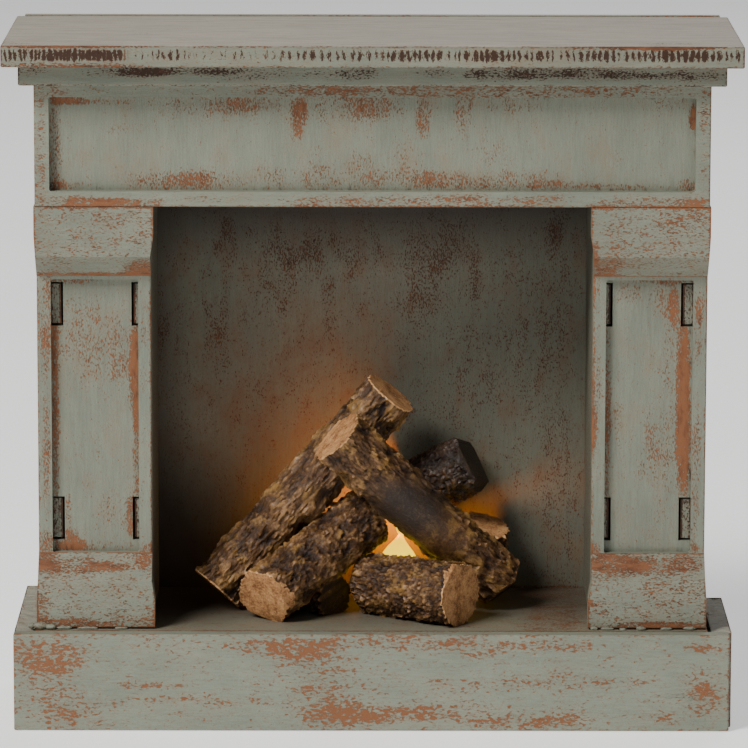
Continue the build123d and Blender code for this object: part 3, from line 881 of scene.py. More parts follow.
# --- Painted boards -----------------------------------------------------------------------------
@dataclass(frozen=True)
class Mantel:
    """Shelf, bed mould and frieze."""

    stile: float = 3.65
    top_rail: float = 3.3
    bottom_rail: float = 3.8

    def shelf(self) -> ChalkPaint:
        """Finish of the shelf: rasped along its front edge, with painted light on its top, streaked like
        brushing.
        """
        near = {"y": -33.6, "half_y": 0.8}
        return ChalkPaint(rubs=(
            Rub(-76.0, 170.5, 14.0, 0.5, 0.24, **near), Rub(-75.0, 166.1, 15.0, 0.5, 0.26, **near),
            Rub(71.0, 170.5, 8.0, 0.7, 0.34, **near), Rub(60.0, 170.3, 14.0, 0.5, 0.14, **near),
            Rub(71.0, 170.7, 7.0, 2.0, 0.16, -28.0, 3.0), Rub(-86.0, 170.7, 4.0, 2.0, 0.14, -29.0, 3.0)),
            rasps=(Rasp(-90.0, -60.0, 1.2, 0.78), Rasp(-60.0, -44.0, 1.4, 0.5),
                   Rasp(-44.0, -26.0, 1.8, 0.38), Rasp(-26.0, 2.0, 1.9, 0.54),
                   Rasp(2.0, 90.0, 1.6, 0.62)),
            darkness=0.5, tan=0.6, wear=0.02, top_painted_light=0.8)

    def rear_lath(self) -> ChalkPaint:
        """Finish of the lath behind the shelf, with brown spots along its top and painted light on its upward
        face.
        """
        return ChalkPaint(rubs=(Rub(-12.0, 171.0, 9.0, 2.0, 0.12), Rub(8.0, 171.0, 8.0, 2.0, 0.12),
                                Rub(77.0, 171.0, 8.0, 2.0, 0.16)),
                          tan=0.6, wear=0.02, arris_wear=0.04, top_painted_light=0.5)

    def bed_mould(self) -> ChalkPaint:
        """Finish of the moulding under the shelf: umber specks along its upper half, darkened a little as
        painted shade under the shelf.
        """
        return ChalkPaint(rubs=(
            Rub(-83.0, 164.0, 4.0, 1.0, 0.2), Rub(-60.5, 163.8, 8.0, 1.2, 0.22),
            Rub(-54.0, 163.8, 6.0, 1.2, 0.18), Rub(-44.0, 164.1, 9.0, 1.0, 0.18),
            Rub(-31.0, 163.5, 9.0, 1.5, 0.2), Rub(-3.4, 163.4, 5.0, 1.6, 0.22),
            Rub(-14.0, 163.4, 7.0, 1.2, 0.12), Rub(15.6, 163.6, 4.0, 1.0, 0.18),
            Rub(24.4, 163.4, 2.5, 1.4, 0.24), Rub(32.0, 163.4, 5.0, 1.6, 0.24),
            Rub(41.2, 163.6, 6.0, 1.4, 0.24), Rub(53.0, 163.7, 7.0, 1.6, 0.25),
            Rub(61.6, 163.2, 5.0, 1.2, 0.2), Rub(76.0, 163.1, 9.0, 1.2, 0.25)),
            darkness=0.8, tan=0.3, shade=0.9)

    def frieze_panel(self, opening: Window) -> ChalkPaint:
        """Finish of the sunk panel: upright streaks from the top, rubbed along the foot, with painted shade
        along the inside of the frame.
        """
        return ChalkPaint(grain=Grain.UPRIGHT, opening=opening, recess_shade=0.18, tan=0.5, rubs=(
            Rub(-77.6, 144.0, 1.6, 11.0, 0.22), Rub(-75.0, 156.2, 4.0, 1.2, 0.28),
            Rub(-67.4, 155.6, 8.0, 0.7, 0.2), Rub(-41.2, 154.6, 12.0, 3.0, 0.12),
            Rub(-29.6, 155.0, 8.0, 2.2, 0.18), Rub(-18.0, 151.6, 1.8, 5.0, 0.3),
            Rub(-7.5, 154.2, 8.0, 4.0, 0.17), Rub(1.0, 154.8, 6.0, 3.4, 0.18),
            Rub(12.4, 152.8, 1.7, 4.5, 0.3), Rub(22.0, 154.0, 2.2, 5.5, 0.22),
            Rub(33.0, 155.2, 7.0, 2.2, 0.14), Rub(71.0, 155.6, 5.0, 2.2, 0.12),
            Rub(-50.0, 136.0, 10.0, 2.2, 0.2), Rub(-40.5, 136.3, 8.0, 2.4, 0.16),
            Rub(-75.5, 135.0, 5.0, 1.2, 0.2), Rub(-23.8, 136.4, 4.0, 3.2, 0.14),
            Rub(-12.7, 136.7, 4.0, 4.2, 0.2), Rub(-2.8, 137.0, 4.0, 5.0, 0.18),
            Rub(9.0, 137.0, 8.0, 2.4, 0.17), Rub(19.0, 136.0, 8.0, 2.2, 0.2),
            Rub(35.4, 136.2, 9.0, 2.6, 0.2), Rub(48.0, 135.3, 7.0, 1.0, 0.18),
            Rub(61.0, 134.8, 9.0, 0.7, 0.18), Rub(77.3, 135.0, 2.5, 1.6, 0.28),
            Rub(78.4, 151.6, 1.0, 2.8, 0.42), Rub(8.0, 142.5, 3.0, 4.0, 0.12),
            Rub(29.5, 143.0, 5.0, 3.0, 0.1), Rub(-59.3, 149.3, 4.0, 1.2, 0.12)))

    def frieze_frame(self) -> ChalkPaint:
        """Finish of the frame: a brown top rail and short orange strokes on the lower one."""
        return ChalkPaint(rubs=(
            Rub(30.0, 158.8, 44.0, 1.8, 0.24), Rub(-15.0, 158.9, 12.0, 1.6, 0.12),
            Rub(-47.0, 158.8, 26.0, 1.4, 0.05), Rub(-79.0, 158.6, 7.0, 1.2, 0.14),
            Rub(-81.0, 155.5, 1.0, 1.6, 0.22), Rub(-80.8, 149.8, 0.9, 3.0, 0.2),
            Rub(-81.0, 138.0, 1.1, 6.0, 0.2), Rub(80.8, 154.5, 1.1, 4.0, 0.18),
            Rub(81.0, 144.0, 1.0, 9.0, 0.12), Rub(-71.5, 131.4, 8.0, 1.2, 0.28),
            Rub(-62.5, 131.2, 6.0, 1.0, 0.26), Rub(-55.0, 131.6, 5.0, 1.2, 0.14),
            Rub(-41.0, 132.0, 8.0, 0.9, 0.13), Rub(-12.0, 131.5, 11.0, 1.3, 0.18),
            Rub(19.0, 131.7, 19.0, 1.4, 0.23), Rub(42.0, 132.0, 5.0, 1.1, 0.16),
            Rub(66.3, 131.4, 11.0, 1.5, 0.22), Rub(78.5, 131.4, 3.0, 1.6, 0.26)),
            tan=0.35)

    def dress(self) -> None:
        """Paint the boards above the opening."""
        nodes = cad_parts
        opening = Window.within("frieze_frame", self.stile, self.stile, self.bottom_rail, self.top_rail)
        self.shelf().dress(nodes["mantel_shelf"])
        self.rear_lath().dress(nodes["shelf_rear_lath"])
        self.bed_mould().dress(nodes["bed_mould"])
        self.frieze_panel(opening).dress(nodes["frieze_panel"])
        self.frieze_frame().dress(nodes["frieze_frame"])
        for side in ("left", "right"):
            ChalkPaint(grain=Grain.DEEP, wear=0.03, tan=0.4).dress(nodes[f"frieze_end_{side}"])
        # The soffit is darkened as painted shade under the mantel.
        ChalkPaint(grain=Grain.ACROSS, shade=0.5, wear=0.04, darkness=0.8).dress(nodes["firebox_soffit"])
        LOG.info("mantel dressed")


@dataclass(frozen=True)
class Pilaster:
    """One pilaster: capital, framed panel with its tabbed walls, and base block."""

    side: str
    capital: Tuple[Rub, ...]
    stiles: Tuple[Rub, ...]
    panel: Tuple[Rub, ...]
    base: Tuple[Rub, ...]
    inner_stile: float = 3.2
    outer_stile: float = 3.45
    foot: float = 18.2
    head: float = 18.9

    def opening(self) -> Window:
        """Outline of the sunk panel.

        Returns:
            The outline, inside the stiles and rails.
        """
        widths = (self.outer_stile, self.inner_stile)
        left, right = widths if self.side == "left" else widths[::-1]
        return Window.within(f"pilaster_frame_{self.side}", left, right, self.foot, self.head)

    def dress(self) -> None:
        """Paint its boards."""
        def node(name: str) -> bpy.types.Object:
            """A board on this side."""
            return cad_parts[f"{name}_{self.side}"]
        ChalkPaint(rubs=self.capital, wear=0.075, tan=0.35).dress(node("capital"))
        ChalkPaint(grain=Grain.UPRIGHT, rubs=self.stiles, wear=0.02).dress(node("pilaster_frame"))
        # The sunk panel carries painted shade along the inside of its frame.
        ChalkPaint(grain=Grain.UPRIGHT, rubs=self.panel, opening=self.opening(), recess_shade=0.16, tan=0.45,
                   wear=0.01, darkness=0.3).dress(node("pilaster_front"))
        # The base block is lightened as painted light.
        ChalkPaint(rubs=self.base, wear=0.08, tan=0.3, darkness=0.4, shade=1.1).dress(node("base_block"))
        walls = ChalkPaint(grain=Grain.UPRIGHT, wear=0.12, darkness=0.7, arris_wear=0.25)
        walls.dress(node("pilaster_inner_wall"))
        walls.dress(node("pilaster_outer_wall"))
        ChalkPaint(grain=Grain.UPRIGHT, wear=0.04, tan=0.4).dress(node("side_skin"))
        # The cheek is darkened as painted shade inside the opening.
        ChalkPaint(grain=Grain.UPRIGHT, wear=0.06, tan=0.6, darkness=0.7, shade=0.6,
                   rubs=(Rub(0, 60, 90, 30, 0.04),)).dress(node("firebox_cheek"))
        LOG.info("%s pilaster dressed", self.side)


LEFT_PILASTER = Pilaster(
    "left",
    capital=(Rub(-62.4, 125.0, 12.0, 5.0, 0.05), Rub(-69.0, 112.5, 15.0, 0.5, 0.25),
             Rub(-57.0, 113.8, 3.2, 2.4, 0.26)),
    stiles=(Rub(-79.9, 103.0, 1.6, 9.0, 0.2), Rub(-80.6, 93.0, 1.0, 6.0, 0.18),
            Rub(-80.5, 68.0, 0.9, 13.0, 0.22), Rub(-55.9, 99.5, 1.2, 5.0, 0.14),
            Rub(-56.0, 85.8, 1.2, 3.0, 0.14), Rub(-80.3, 44.6, 2.4, 3.0, 0.22),
            Rub(-55.6, 43.2, 2.0, 1.6, 0.2)),
    panel=(Rub(-58.2, 88.0, 1.4, 11.0, 0.4), Rub(-58.2, 68.0, 0.9, 12.0, 0.22),
           Rub(-78.7, 78.0, 1.2, 30.0, 0.3), Rub(-69.3, 96.7, 9.0, 9.0, 0.16),
           Rub(-61.5, 88.0, 2.5, 6.0, 0.12), Rub(-63.4, 51.4, 4.0, 5.0, 0.11),
           Rub(-59.6, 51.5, 1.2, 5.0, 0.28), Rub(-69.3, 43.6, 8.0, 1.3, 0.2),
           Rub(-74.8, 45.0, 2.6, 2.6, 0.28), Rub(-75.2, 52.0, 0.7, 5.0, 0.2),
           Rub(-74.0, 110.8, 5.0, 0.9, 0.25)),
    base=(Rub(-80.9, 41.0, 3.0, 2.5, 0.22), Rub(-73.0, 39.8, 9.0, 1.3, 0.18),
          Rub(-63.8, 39.5, 5.0, 1.0, 0.14), Rub(-56.3, 41.0, 2.0, 2.0, 0.2),
          Rub(-81.6, 31.0, 2.0, 4.0, 0.12), Rub(-74.7, 26.0, 9.0, 0.9, 0.22),
          Rub(-60.0, 27.0, 6.0, 2.0, 0.06)))

RIGHT_PILASTER = Pilaster(
    "right",
    capital=(Rub(69.4, 121.0, 10.0, 5.0, 0.05), Rub(76.9, 127.5, 6.0, 2.5, 0.08),
             Rub(54.6, 118.5, 0.8, 3.0, 0.25), Rub(57.7, 115.0, 3.2, 2.0, 0.22),
             Rub(57.4, 112.3, 3.5, 0.6, 0.26)),
    stiles=(Rub(55.3, 109.7, 1.2, 2.5, 0.18), Rub(55.2, 83.7, 1.3, 14.0, 0.14),
            Rub(54.8, 73.2, 1.0, 4.0, 0.2), Rub(80.7, 105.0, 1.0, 3.5, 0.18),
            Rub(80.4, 98.0, 0.9, 6.0, 0.18), Rub(80.3, 62.0, 1.0, 16.0, 0.19),
            Rub(55.0, 43.4, 1.6, 1.6, 0.26), Rub(79.6, 43.9, 1.6, 1.2, 0.22)),
    panel=(Rub(77.2, 78.0, 1.5, 20.0, 0.5), Rub(58.1, 76.0, 1.0, 18.0, 0.3),
           Rub(61.0, 76.0, 1.2, 5.0, 0.16), Rub(63.9, 108.7, 2.5, 3.6, 0.14),
           Rub(72.0, 105.8, 3.0, 4.0, 0.14), Rub(74.6, 104.0, 1.2, 5.0, 0.2),
           Rub(74.2, 92.4, 2.5, 12.0, 0.13), Rub(72.1, 69.6, 4.0, 8.0, 0.15),
           Rub(68.0, 67.0, 3.0, 6.0, 0.07), Rub(72.6, 110.8, 6.0, 0.8, 0.25),
           Rub(72.5, 52.0, 1.6, 3.0, 0.12)),
    base=(Rub(59.3, 40.2, 8.0, 2.2, 0.24), Rub(70.0, 39.8, 6.0, 1.5, 0.16),
          Rub(77.6, 40.5, 4.0, 1.8, 0.18), Rub(74.9, 33.5, 8.0, 3.0, 0.06),
          Rub(55.3, 31.1, 2.0, 0.8, 0.16), Rub(72.7, 25.6, 9.0, 0.8, 0.26)))


@dataclass(frozen=True)
class Firebox:
    """Back wall of the fire opening."""

    def dress(self) -> None:
        """Paint the back wall, darkened with painted shade, and the mantel's rear."""
        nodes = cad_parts
        # The back wall is darkened overall as painted shade, with more painted shade at its top under the
        # frieze, down its left side, at its lower left and along its foot.
        ChalkPaint(grain=Grain.UPRIGHT, shade=0.78, wear=0.06, tan=0.85, darkness=0.55, island=0.3, rubs=(
            Rub(-36.7, 113.9, 2.4, 5.0, 0.12), Rub(-24.3, 107.0, 4.0, 9.0, 0.1),
            Rub(-17.8, 109.5, 4.0, 5.0, 0.08), Rub(-13.0, 112.0, 4.0, 4.0, 0.08),
            Rub(-4.0, 111.7, 5.0, 5.0, 0.08), Rub(-39.7, 91.5, 3.0, 6.0, 0.11),
            Rub(-10.5, 96.9, 1.8, 6.0, 0.1), Rub(-54.5, 92.5, 2.0, 8.0, 0.11),
            Rub(12.5, 107.0, 5.0, 11.0, 0.1), Rub(20.2, 111.5, 4.5, 5.0, 0.11),
            Rub(26.4, 105.6, 1.4, 6.0, 0.14), Rub(46.9, 116.8, 2.2, 6.0, 0.14),
            Rub(46.0, 88.0, 4.0, 20.0, 0.06), Rub(34.4, 82.6, 5.0, 9.0, 0.05),
            Rub(25.0, 81.0, 4.0, 9.0, 0.05), Rub(49.0, 50.0, 4.0, 14.0, 0.08)),
            shade_patches=(Rub(0.0, 131.0, 120.0, 15.0, 0.82), Rub(-60.0, 84.0, 9.0, 80.0, 0.55),
                   Rub(-58.0, 30.0, 20.0, 26.0, 0.85), Rub(-20.0, 20.0, 70.0, 13.0, 0.6))
        ).dress(nodes["fireback"])
        ChalkPaint(grain=Grain.UPRIGHT, wear=0.05, tan=0.5).dress(nodes["rear_board"])
        LOG.info("firebox dressed")


@dataclass(frozen=True)
class RoughBoard:
    """Side board of the plinth, its top left rippled by the saw, in place of a packed board."""

    node: str
    ripple: float = 0.9           # depth of the ripples, in millimetres
    arris: float = 0.35           # width of the eased arrises
    cuts_along: int = 90
    cuts_across: int = 8
    cuts_up: int = 6

    def build(self) -> bpy.types.Object:
        """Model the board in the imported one's box and paint it.

        Returns:
            The board.
        """
        low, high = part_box(self.node)
        bpy.ops.object.select_all(action="DESELECT")
        bpy.ops.mesh.primitive_cube_add(size=1.0, location=(low + high) / 2)
        board = bpy.context.object
        board.name = f"{self.node}_rough"
        board.scale = high - low
        bpy.ops.object.transform_apply(location=True, rotation=True, scale=True)
        for axis, cuts in ((1, self.cuts_along), (0, self.cuts_across), (2, self.cuts_up)):
            self._divide(board, axis, cuts)
        ease = board.modifiers.new("arris", "BEVEL")
        ease.width = self.arris * MM
        ease.segments = 2
        ease.angle_limit = math.radians(60)
        bpy.ops.object.modifier_apply(modifier=ease.name)
        top = board.vertex_groups.new(name="top")
        top.add([v.index for v in board.data.vertices if v.co.z > high.z - 0.2 * MM], 1.0, "REPLACE")
        emboss(board, board.name, "CLOUDS", 0.0028, self.ripple, {"noise_depth": 1},
               {"direction": "Z", "mid_level": 1.0, "vertex_group": top.name})
        bpy.ops.object.shade_smooth_by_angle(angle=math.radians(40))
        # The side board is lightened overall, and paler still on its top, as painted light.
        ChalkPaint(grain=Grain.DEEP, wear=0.05, tan=0.4, shade=1.08, top_painted_light=0.5).dress(board)
        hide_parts(self.node)
        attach(board, FIREPLACE)
        LOG.info("%s: %d faces", board.name, len(board.data.polygons))
        return board

    @staticmethod
    def _divide(board: bpy.types.Object, axis: int, cuts: int) -> None:
        """Divide the edges that run along one axis.

        Args:
            board: The board, which is the active object.
            axis: Number of the axis.
            cuts: How many cuts each edge gets.
        """
        bpy.ops.object.mode_set(mode="EDIT")
        bpy.ops.mesh.select_mode(type="EDGE")
        bpy.ops.mesh.select_all(action="DESELECT")
        mesh = bmesh.from_edit_mesh(board.data)
        for edge in mesh.edges:
            run = edge.verts[0].co - edge.verts[1].co
            edge.select_set(abs(run[axis]) > 0.9 * run.length)
        bmesh.update_edit_mesh(board.data)
        bpy.ops.mesh.subdivide(number_cuts=cuts)
        bpy.ops.object.mode_set(mode="OBJECT")


@dataclass(frozen=True)
class Plinth:
    """Front and side boards of the plinth, the hearth board and the hidden core."""

    def front(self) -> ChalkPaint:
        """Finish of the plinth's front."""
        # The front is lightened as painted light.
        return ChalkPaint(arris_wear=0.08, tan=0.2, shade=1.12, wear=0.035, island=0.6, darkness=0.2, rubs=(
            Rub(-80.0, 19.2, 10.0, 4.0, 0.2), Rub(-81.0, 13.0, 7.0, 4.0, 0.12),
            Rub(-75.4, 6.5, 9.0, 3.0, 0.14), Rub(-75.0, 2.8, 10.0, 2.0, 0.1),
            Rub(-45.0, 21.6, 10.0, 1.6, 0.11), Rub(-22.0, 21.2, 10.0, 2.2, 0.2),
            Rub(-15.0, 19.8, 8.0, 3.6, 0.16), Rub(-53.4, 11.3, 8.0, 0.6, 0.17),
            Rub(-52.0, 8.0, 10.0, 0.6, 0.17), Rub(-32.5, 7.2, 8.0, 0.8, 0.12),
            Rub(-11.5, 9.5, 8.0, 6.0, 0.14), Rub(-6.9, 4.0, 9.0, 3.0, 0.19),
            Rub(6.3, 22.6, 13.0, 1.7, 0.2), Rub(25.4, 21.0, 8.0, 2.2, 0.16),
            Rub(43.4, 21.8, 11.0, 1.7, 0.19), Rub(44.6, 12.5, 13.0, 2.0, 0.11),
            Rub(21.0, 12.0, 10.0, 1.6, 0.09), Rub(3.7, 4.0, 10.0, 1.8, 0.17),
            Rub(19.6, 5.0, 11.0, 2.2, 0.14), Rub(37.7, 2.0, 13.0, 1.6, 0.21),
            Rub(48.0, 4.0, 7.0, 1.6, 0.13), Rub(81.8, 21.0, 4.0, 1.1, 0.25),
            Rub(82.5, 12.4, 4.5, 4.0, 0.15), Rub(82.0, 7.6, 5.0, 3.0, 0.15),
            Rub(72.0, 3.5, 4.0, 1.5, 0.13), Rub(63.0, 12.0, 7.0, 1.2, 0.11)))

    def dress(self) -> None:
        """Paint the show boards and leave the core bare."""
        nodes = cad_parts
        self.front().dress(nodes["plinth_front_board"])
        for side in ("left", "right"):
            RoughBoard(f"plinth_side_board_{side}").build()
        # The hearth is darkened a little overall, and more towards the back and on the left, as painted shade
        # inside the opening.
        ChalkPaint(wear=0.05, tan=1.0, darkness=0.4, shade=0.98, rubs=(Rub(46.0, 24.4, 7.0, 3.0, 0.14),),
                   shade_patches=(Rub(-8.0, 24.4, 130.0, 9.0, 0.66, 16.0, 25.0),
                          Rub(-50.0, 24.4, 16.0, 9.0, 0.5, 10.0, 24.0))).dress(nodes["hearth_board"])
        core = ["plinth_core_side_left", "plinth_core_side_right", "plinth_rib_left",
                "plinth_rib_right", "plinth_rear_rail", "plinth_bottom_board"]
        for name in core:
            BareBoard().dress(nodes[name])
        LOG.info("plinth dressed")


@dataclass(frozen=True)
class Lump:
    """One dab of filler: its middle and its half sizes, in millimetres."""

    x: float
    y: float
    z: float
    half_x: float
    half_y: float
    half_z: float


@dataclass(frozen=True)
class Filler:
    """Painted-over dabs of filler, along the foot of a base block or over a knot."""

    name: str
    lumps: Tuple[Lump, ...]
    rough: float = 0.5            # depth of their unevenness, in millimetres

    def build(self) -> bpy.types.Object:
        """Model the dabs as one piece and paint them.

        Returns:
            The piece.
        """
        dabs = []
        for lump in self.lumps:
            bpy.ops.object.select_all(action="DESELECT")
            bpy.ops.mesh.primitive_ico_sphere_add(subdivisions=4, radius=MM, location=(0, 0, 0))
            dab = bpy.context.object
            dab.scale = (lump.half_x, lump.half_y, lump.half_z)
            dab.location = (lump.x * MM, lump.y * MM, lump.z * MM)
            bpy.ops.object.transform_apply(location=True, rotation=True, scale=True)
            dabs.append(dab)
        for dab in dabs:
            dab.select_set(True)
        bpy.context.view_layer.objects.active = dabs[0]
        bpy.ops.object.join()
        piece = bpy.context.object
        piece.name = self.name
        emboss(piece, self.name, "CLOUDS", 0.0011, self.rough)
        bpy.ops.object.shade_smooth()
        ChalkPaint(wear=0.05, tan=0.3, arris_wear=0.0).dress(piece)
        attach(piece, FIREPLACE)
        LOG.info("%s: %d faces", piece.name, len(piece.data.polygons))
        return piece


LEFT_FILLER = Filler("filler_left", (
    Lump(-82.0, -25.0, 25.3, 1.9, 0.9, 0.9), Lump(-79.4, -25.2, 25.0, 1.3, 0.8, 0.7),
    Lump(-84.2, -23.6, 25.0, 1.0, 1.2, 0.7), Lump(-76.2, -24.9, 24.8, 2.0, 0.5, 0.5),
    Lump(-70.4, -24.9, 24.7, 2.6, 0.4, 0.4), Lump(-62.0, -24.8, 24.7, 1.6, 0.4, 0.35)))
RIGHT_FILLER = Filler("filler_right", (
    Lump(58.4, -24.9, 24.7, 1.6, 0.5, 0.5), Lump(62.3, -24.9, 24.6, 0.9, 0.5, 0.4),
    Lump(66.8, -25.0, 24.8, 1.2, 0.5, 0.5), Lump(73.0, -24.9, 24.7, 1.5, 0.5, 0.45),
    Lump(78.8, -24.9, 24.8, 1.7, 0.5, 0.5), Lump(55.2, -24.6, 24.7, 0.9, 0.6, 0.5)))
KNOT = Filler("knot", (
    Lump(76.0, -30.35, 9.0, 2.6, 0.3, 0.6), Lump(73.4, -30.35, 8.6, 1.0, 0.25, 0.5),
    Lump(78.6, -30.35, 8.5, 0.9, 0.3, 0.8)), rough=0.2)


# --- Logs ---------------------------------------------------------------------------------------
class End(Enum):
    """How a log ends."""

    SAWN = "sawn"
    BROKEN = "broken"
    BURIED = "buried"


@dataclass(frozen=True)
class Cut:
    """End of a log: its form, and how its face leans from square, added to the axis direction."""

    form: End = End.SAWN
    lean: Tuple[float, float, float] = (0.0, 0.0, 0.0)
    chips: Tuple[Tuple[float, float], ...] = ()   # (degrees round the rim, depth in millimetres)
    extra: float = 0.0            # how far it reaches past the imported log, in millimetres


@dataclass
class LogAxis:
    """Middle line and end radii of a packed log, in metres, from its left end to its right."""

    left: Vector
    right: Vector
    left_radius: float
    right_radius: float

    END_SHARE = 0.4               # share of the length that counts as near an end

    @classmethod
    def of(cls, node: str) -> "LogAxis":
        """Read the axis of a packed log from its vertices.

        Args:
            node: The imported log.
        Returns:
            Its middle line and radii.
        """
        points = np.array([v.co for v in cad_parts[node].data.vertices], float)
        middle = (points.max(0) + points.min(0)) / 2
        _, _, directions = np.linalg.svd(points - points.mean(0), full_matrices=False)
        along = directions[0] * (1 if directions[0][0] > 0 else -1)
        reach = (points - middle) @ along
        spread = np.linalg.norm(points - middle - np.outer(reach, along), axis=1)
        low, high = reach.min(), reach.max()
        near = (high - low) * cls.END_SHARE
        near_left = reach < low + near
        near_right = reach > high - near
        return cls(Vector(middle + along * low), Vector(middle + along * high),
                   float(spread[near_left].max()), float(spread[near_right].max()))

    @property
    def along(self) -> Vector:
        """Unit direction from the left end to the right."""
        return (self.right - self.left).normalized()

    @property
    def length(self) -> float:
        """Distance between the end centres."""
        return (self.right - self.left).length


@dataclass
class BarkLog:
    """One cast log with raised bark and sawn or broken ends, in place of a packed log."""

    node: str
    seed: int
    left_cut: Cut = Cut()
    right_cut: Cut = Cut()
    bark: Bark = Bark()
    wood: SawnWood = SawnWood()
    slot: str = "cast_bark"
    around: int = 150
    spacing: float = 0.0003       # between rings
    stretch: float = 1.5          # how much longer than wide the bark's plates are
    lumps: float = 2.5            # depth of each kind of relief, in millimetres
    knobs: float = 0.9
    crust: float = 1.7
    smooth: Optional[Tuple[float, float, float]] = None   # (share along, half width, degrees round)
    proud: float = 0.35           # the bark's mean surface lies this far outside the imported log
    spare: float = 0.006          # length of rod past each end before it is cut, in metres
    apart: float = 0.03           # step between logs in the relief textures, in metres
    axis: LogAxis = field(init=False)

    CHIP_LEAN = 1.1
    SPLINTERS = 7                 # faces of a broken end
    RIM = 0.9                     # width of the pale rim beside a sawn end, in millimetres

    def build(self) -> bpy.types.Object:
        """Model the log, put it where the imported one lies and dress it.

        Returns:
            The log.
        """
        self.axis = LogAxis.of(self.node)
        piece = self._blank()
        self._emboss(piece)
        self._place(piece)
        self._cut(piece, self.axis.left, -self.axis.along, self.left_cut)
        self._cut(piece, self.axis.right, self.axis.along, self.right_cut)
        self._record_relief(piece)
        bpy.ops.object.select_all(action="DESELECT")
        piece.select_set(True)
        bpy.context.view_layer.objects.active = piece
        bpy.ops.object.shade_smooth_by_angle(angle=math.radians(50))
        self.bark.dress(piece, 0)
        self.wood.dress(piece, 1)
        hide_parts(self.node)
        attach(piece, FIREPLACE)
        LOG.info("%s: %d faces", piece.name, len(piece.data.polygons))
        return piece

    def _blank(self) -> bpy.types.Object:
        """Plain tapered rod, squeezed along its axis, with even rings.

        Returns:
            The rod, at its own place in the relief textures.
        """
        depth = (self.axis.length + 2 * self.spare) / self.stretch
        bpy.ops.object.select_all(action="DESELECT")
        bpy.ops.mesh.primitive_cylinder_add(vertices=self.around, radius=self.axis.left_radius,
                                            depth=depth, location=(0, 0, 0))
        piece = bpy.context.object
        piece.name = f"{self.node}_bark"
        bpy.ops.object.mode_set(mode="EDIT")
        bpy.ops.mesh.select_all(action="DESELECT")
        mesh = bmesh.from_edit_mesh(piece.data)
        bpy.ops.mesh.select_mode(type="EDGE")
        for edge in mesh.edges:
            edge.select_set(abs(edge.verts[0].co.z - edge.verts[1].co.z) > depth / 2)
        bmesh.update_edit_mesh(piece.data)
        bpy.ops.mesh.subdivide(number_cuts=int(depth * self.stretch / self.spacing))
        bpy.ops.object.mode_set(mode="OBJECT")
        taper = piece.modifiers.new("taper", "SIMPLE_DEFORM")
        taper.deform_method = "TAPER"
        taper.deform_axis = "Z"
        mean = (self.axis.right_radius + self.axis.left_radius) / 2
        taper.factor = (self.axis.right_radius - self.axis.left_radius) / mean
        bpy.ops.object.modifier_apply(modifier=taper.name)
        bpy.ops.transform.translate(value=(self.apart * self.seed, 0.0, 0.0))
        bpy.ops.object.transform_apply(location=True, rotation=False, scale=False)
        return piece

    def _weights(self, piece: bpy.types.Object) -> str:
        """Store how rough each point's bark is, low along a smooth burnt streak.

        Args:
            piece: The rod.
        Returns:
            Name of the vertex group.
        """
        group = piece.vertex_groups.new(name="rough")
        centre = self.apart * self.seed
        for vertex in piece.data.vertices:
            weight = 1.0
            if self.smooth is not None:
                share, half, heading = self.smooth
                reach = vertex.co.z * self.stretch / self.axis.length + 0.5
                angle = math.degrees(math.atan2(vertex.co.y, vertex.co.x - centre))
                turn = abs((angle - heading + 180) % 360 - 180) / 70
                gap = math.hypot((reach - share) / half, turn)
                weight = min(1.0, max(0.12, (gap - 0.7) / 0.5))
            group.add([vertex.index], weight, "REPLACE")
        return group.name

    def _emboss(self, piece: bpy.types.Object) -> None:
        """Raise lumps, knobs and crust on the rod.

        Args:
            piece: The rod.
        """
        group = {"vertex_group": self._weights(piece)}
        emboss(piece, f"lumps_{self.seed}", "CLOUDS", 0.0036, self.lumps, {"noise_depth": 2}, group)
        emboss(piece, f"knobs_{self.seed}", "VORONOI", 0.0013, -self.knobs,
               {"distance_metric": "DISTANCE_SQUARED", "weight_2": -0.6}, group)
        emboss(piece, f"crust_{self.seed}", "CLOUDS", 0.0011, self.crust,
               {"noise_depth": 4, "noise_type": "HARD_NOISE"}, group)

    def _place(self, piece: bpy.types.Object) -> None:
        """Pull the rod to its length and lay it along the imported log's axis.

        Args:
            piece: The rod.
        """
        bpy.ops.transform.translate(value=(-self.apart * self.seed, 0.0, 0.0))
        bpy.ops.object.transform_apply(location=True, rotation=False, scale=False)
        stout = 1 + self.proud * MM / self.axis.left_radius
        piece.scale = (stout, stout, self.stretch)
        piece.rotation_mode = "QUATERNION"
        piece.rotation_quaternion = self.axis.along.to_track_quat("Z", "Y")
        piece.location = (self.axis.left + self.axis.right) / 2
        bpy.ops.object.transform_apply(location=True, rotation=True, scale=True)
        piece.rotation_mode = "XYZ"
        piece.data.materials.append(None)
        piece.data.materials.append(None)

    def _slice(self, piece: bpy.types.Object, place: Vector, facing: Vector, sawn: bool) -> None:
        """Cut everything beyond a plane away.

        Args:
            piece: The log.
            place: A point on the plane.
            facing: The plane's normal, towards what goes.
            sawn: Whether the face that is left is sawn wood, not bark.
        """
        bpy.ops.object.mode_set(mode="EDIT")
        bpy.ops.mesh.select_mode(type="FACE")
        bpy.ops.mesh.select_all(action="SELECT")
        bpy.ops.mesh.bisect(plane_co=place, plane_no=facing, use_fill=True, clear_outer=True)
        mesh = bmesh.from_edit_mesh(piece.data)
        for face in mesh.faces:
            if abs((face.verts[0].co - place).dot(facing)) < 1.5e-4 and face.normal.dot(facing) > 0.995:
                face.material_index = 1 if sawn else 0
        bmesh.update_edit_mesh(piece.data)
        bpy.ops.object.mode_set(mode="OBJECT")

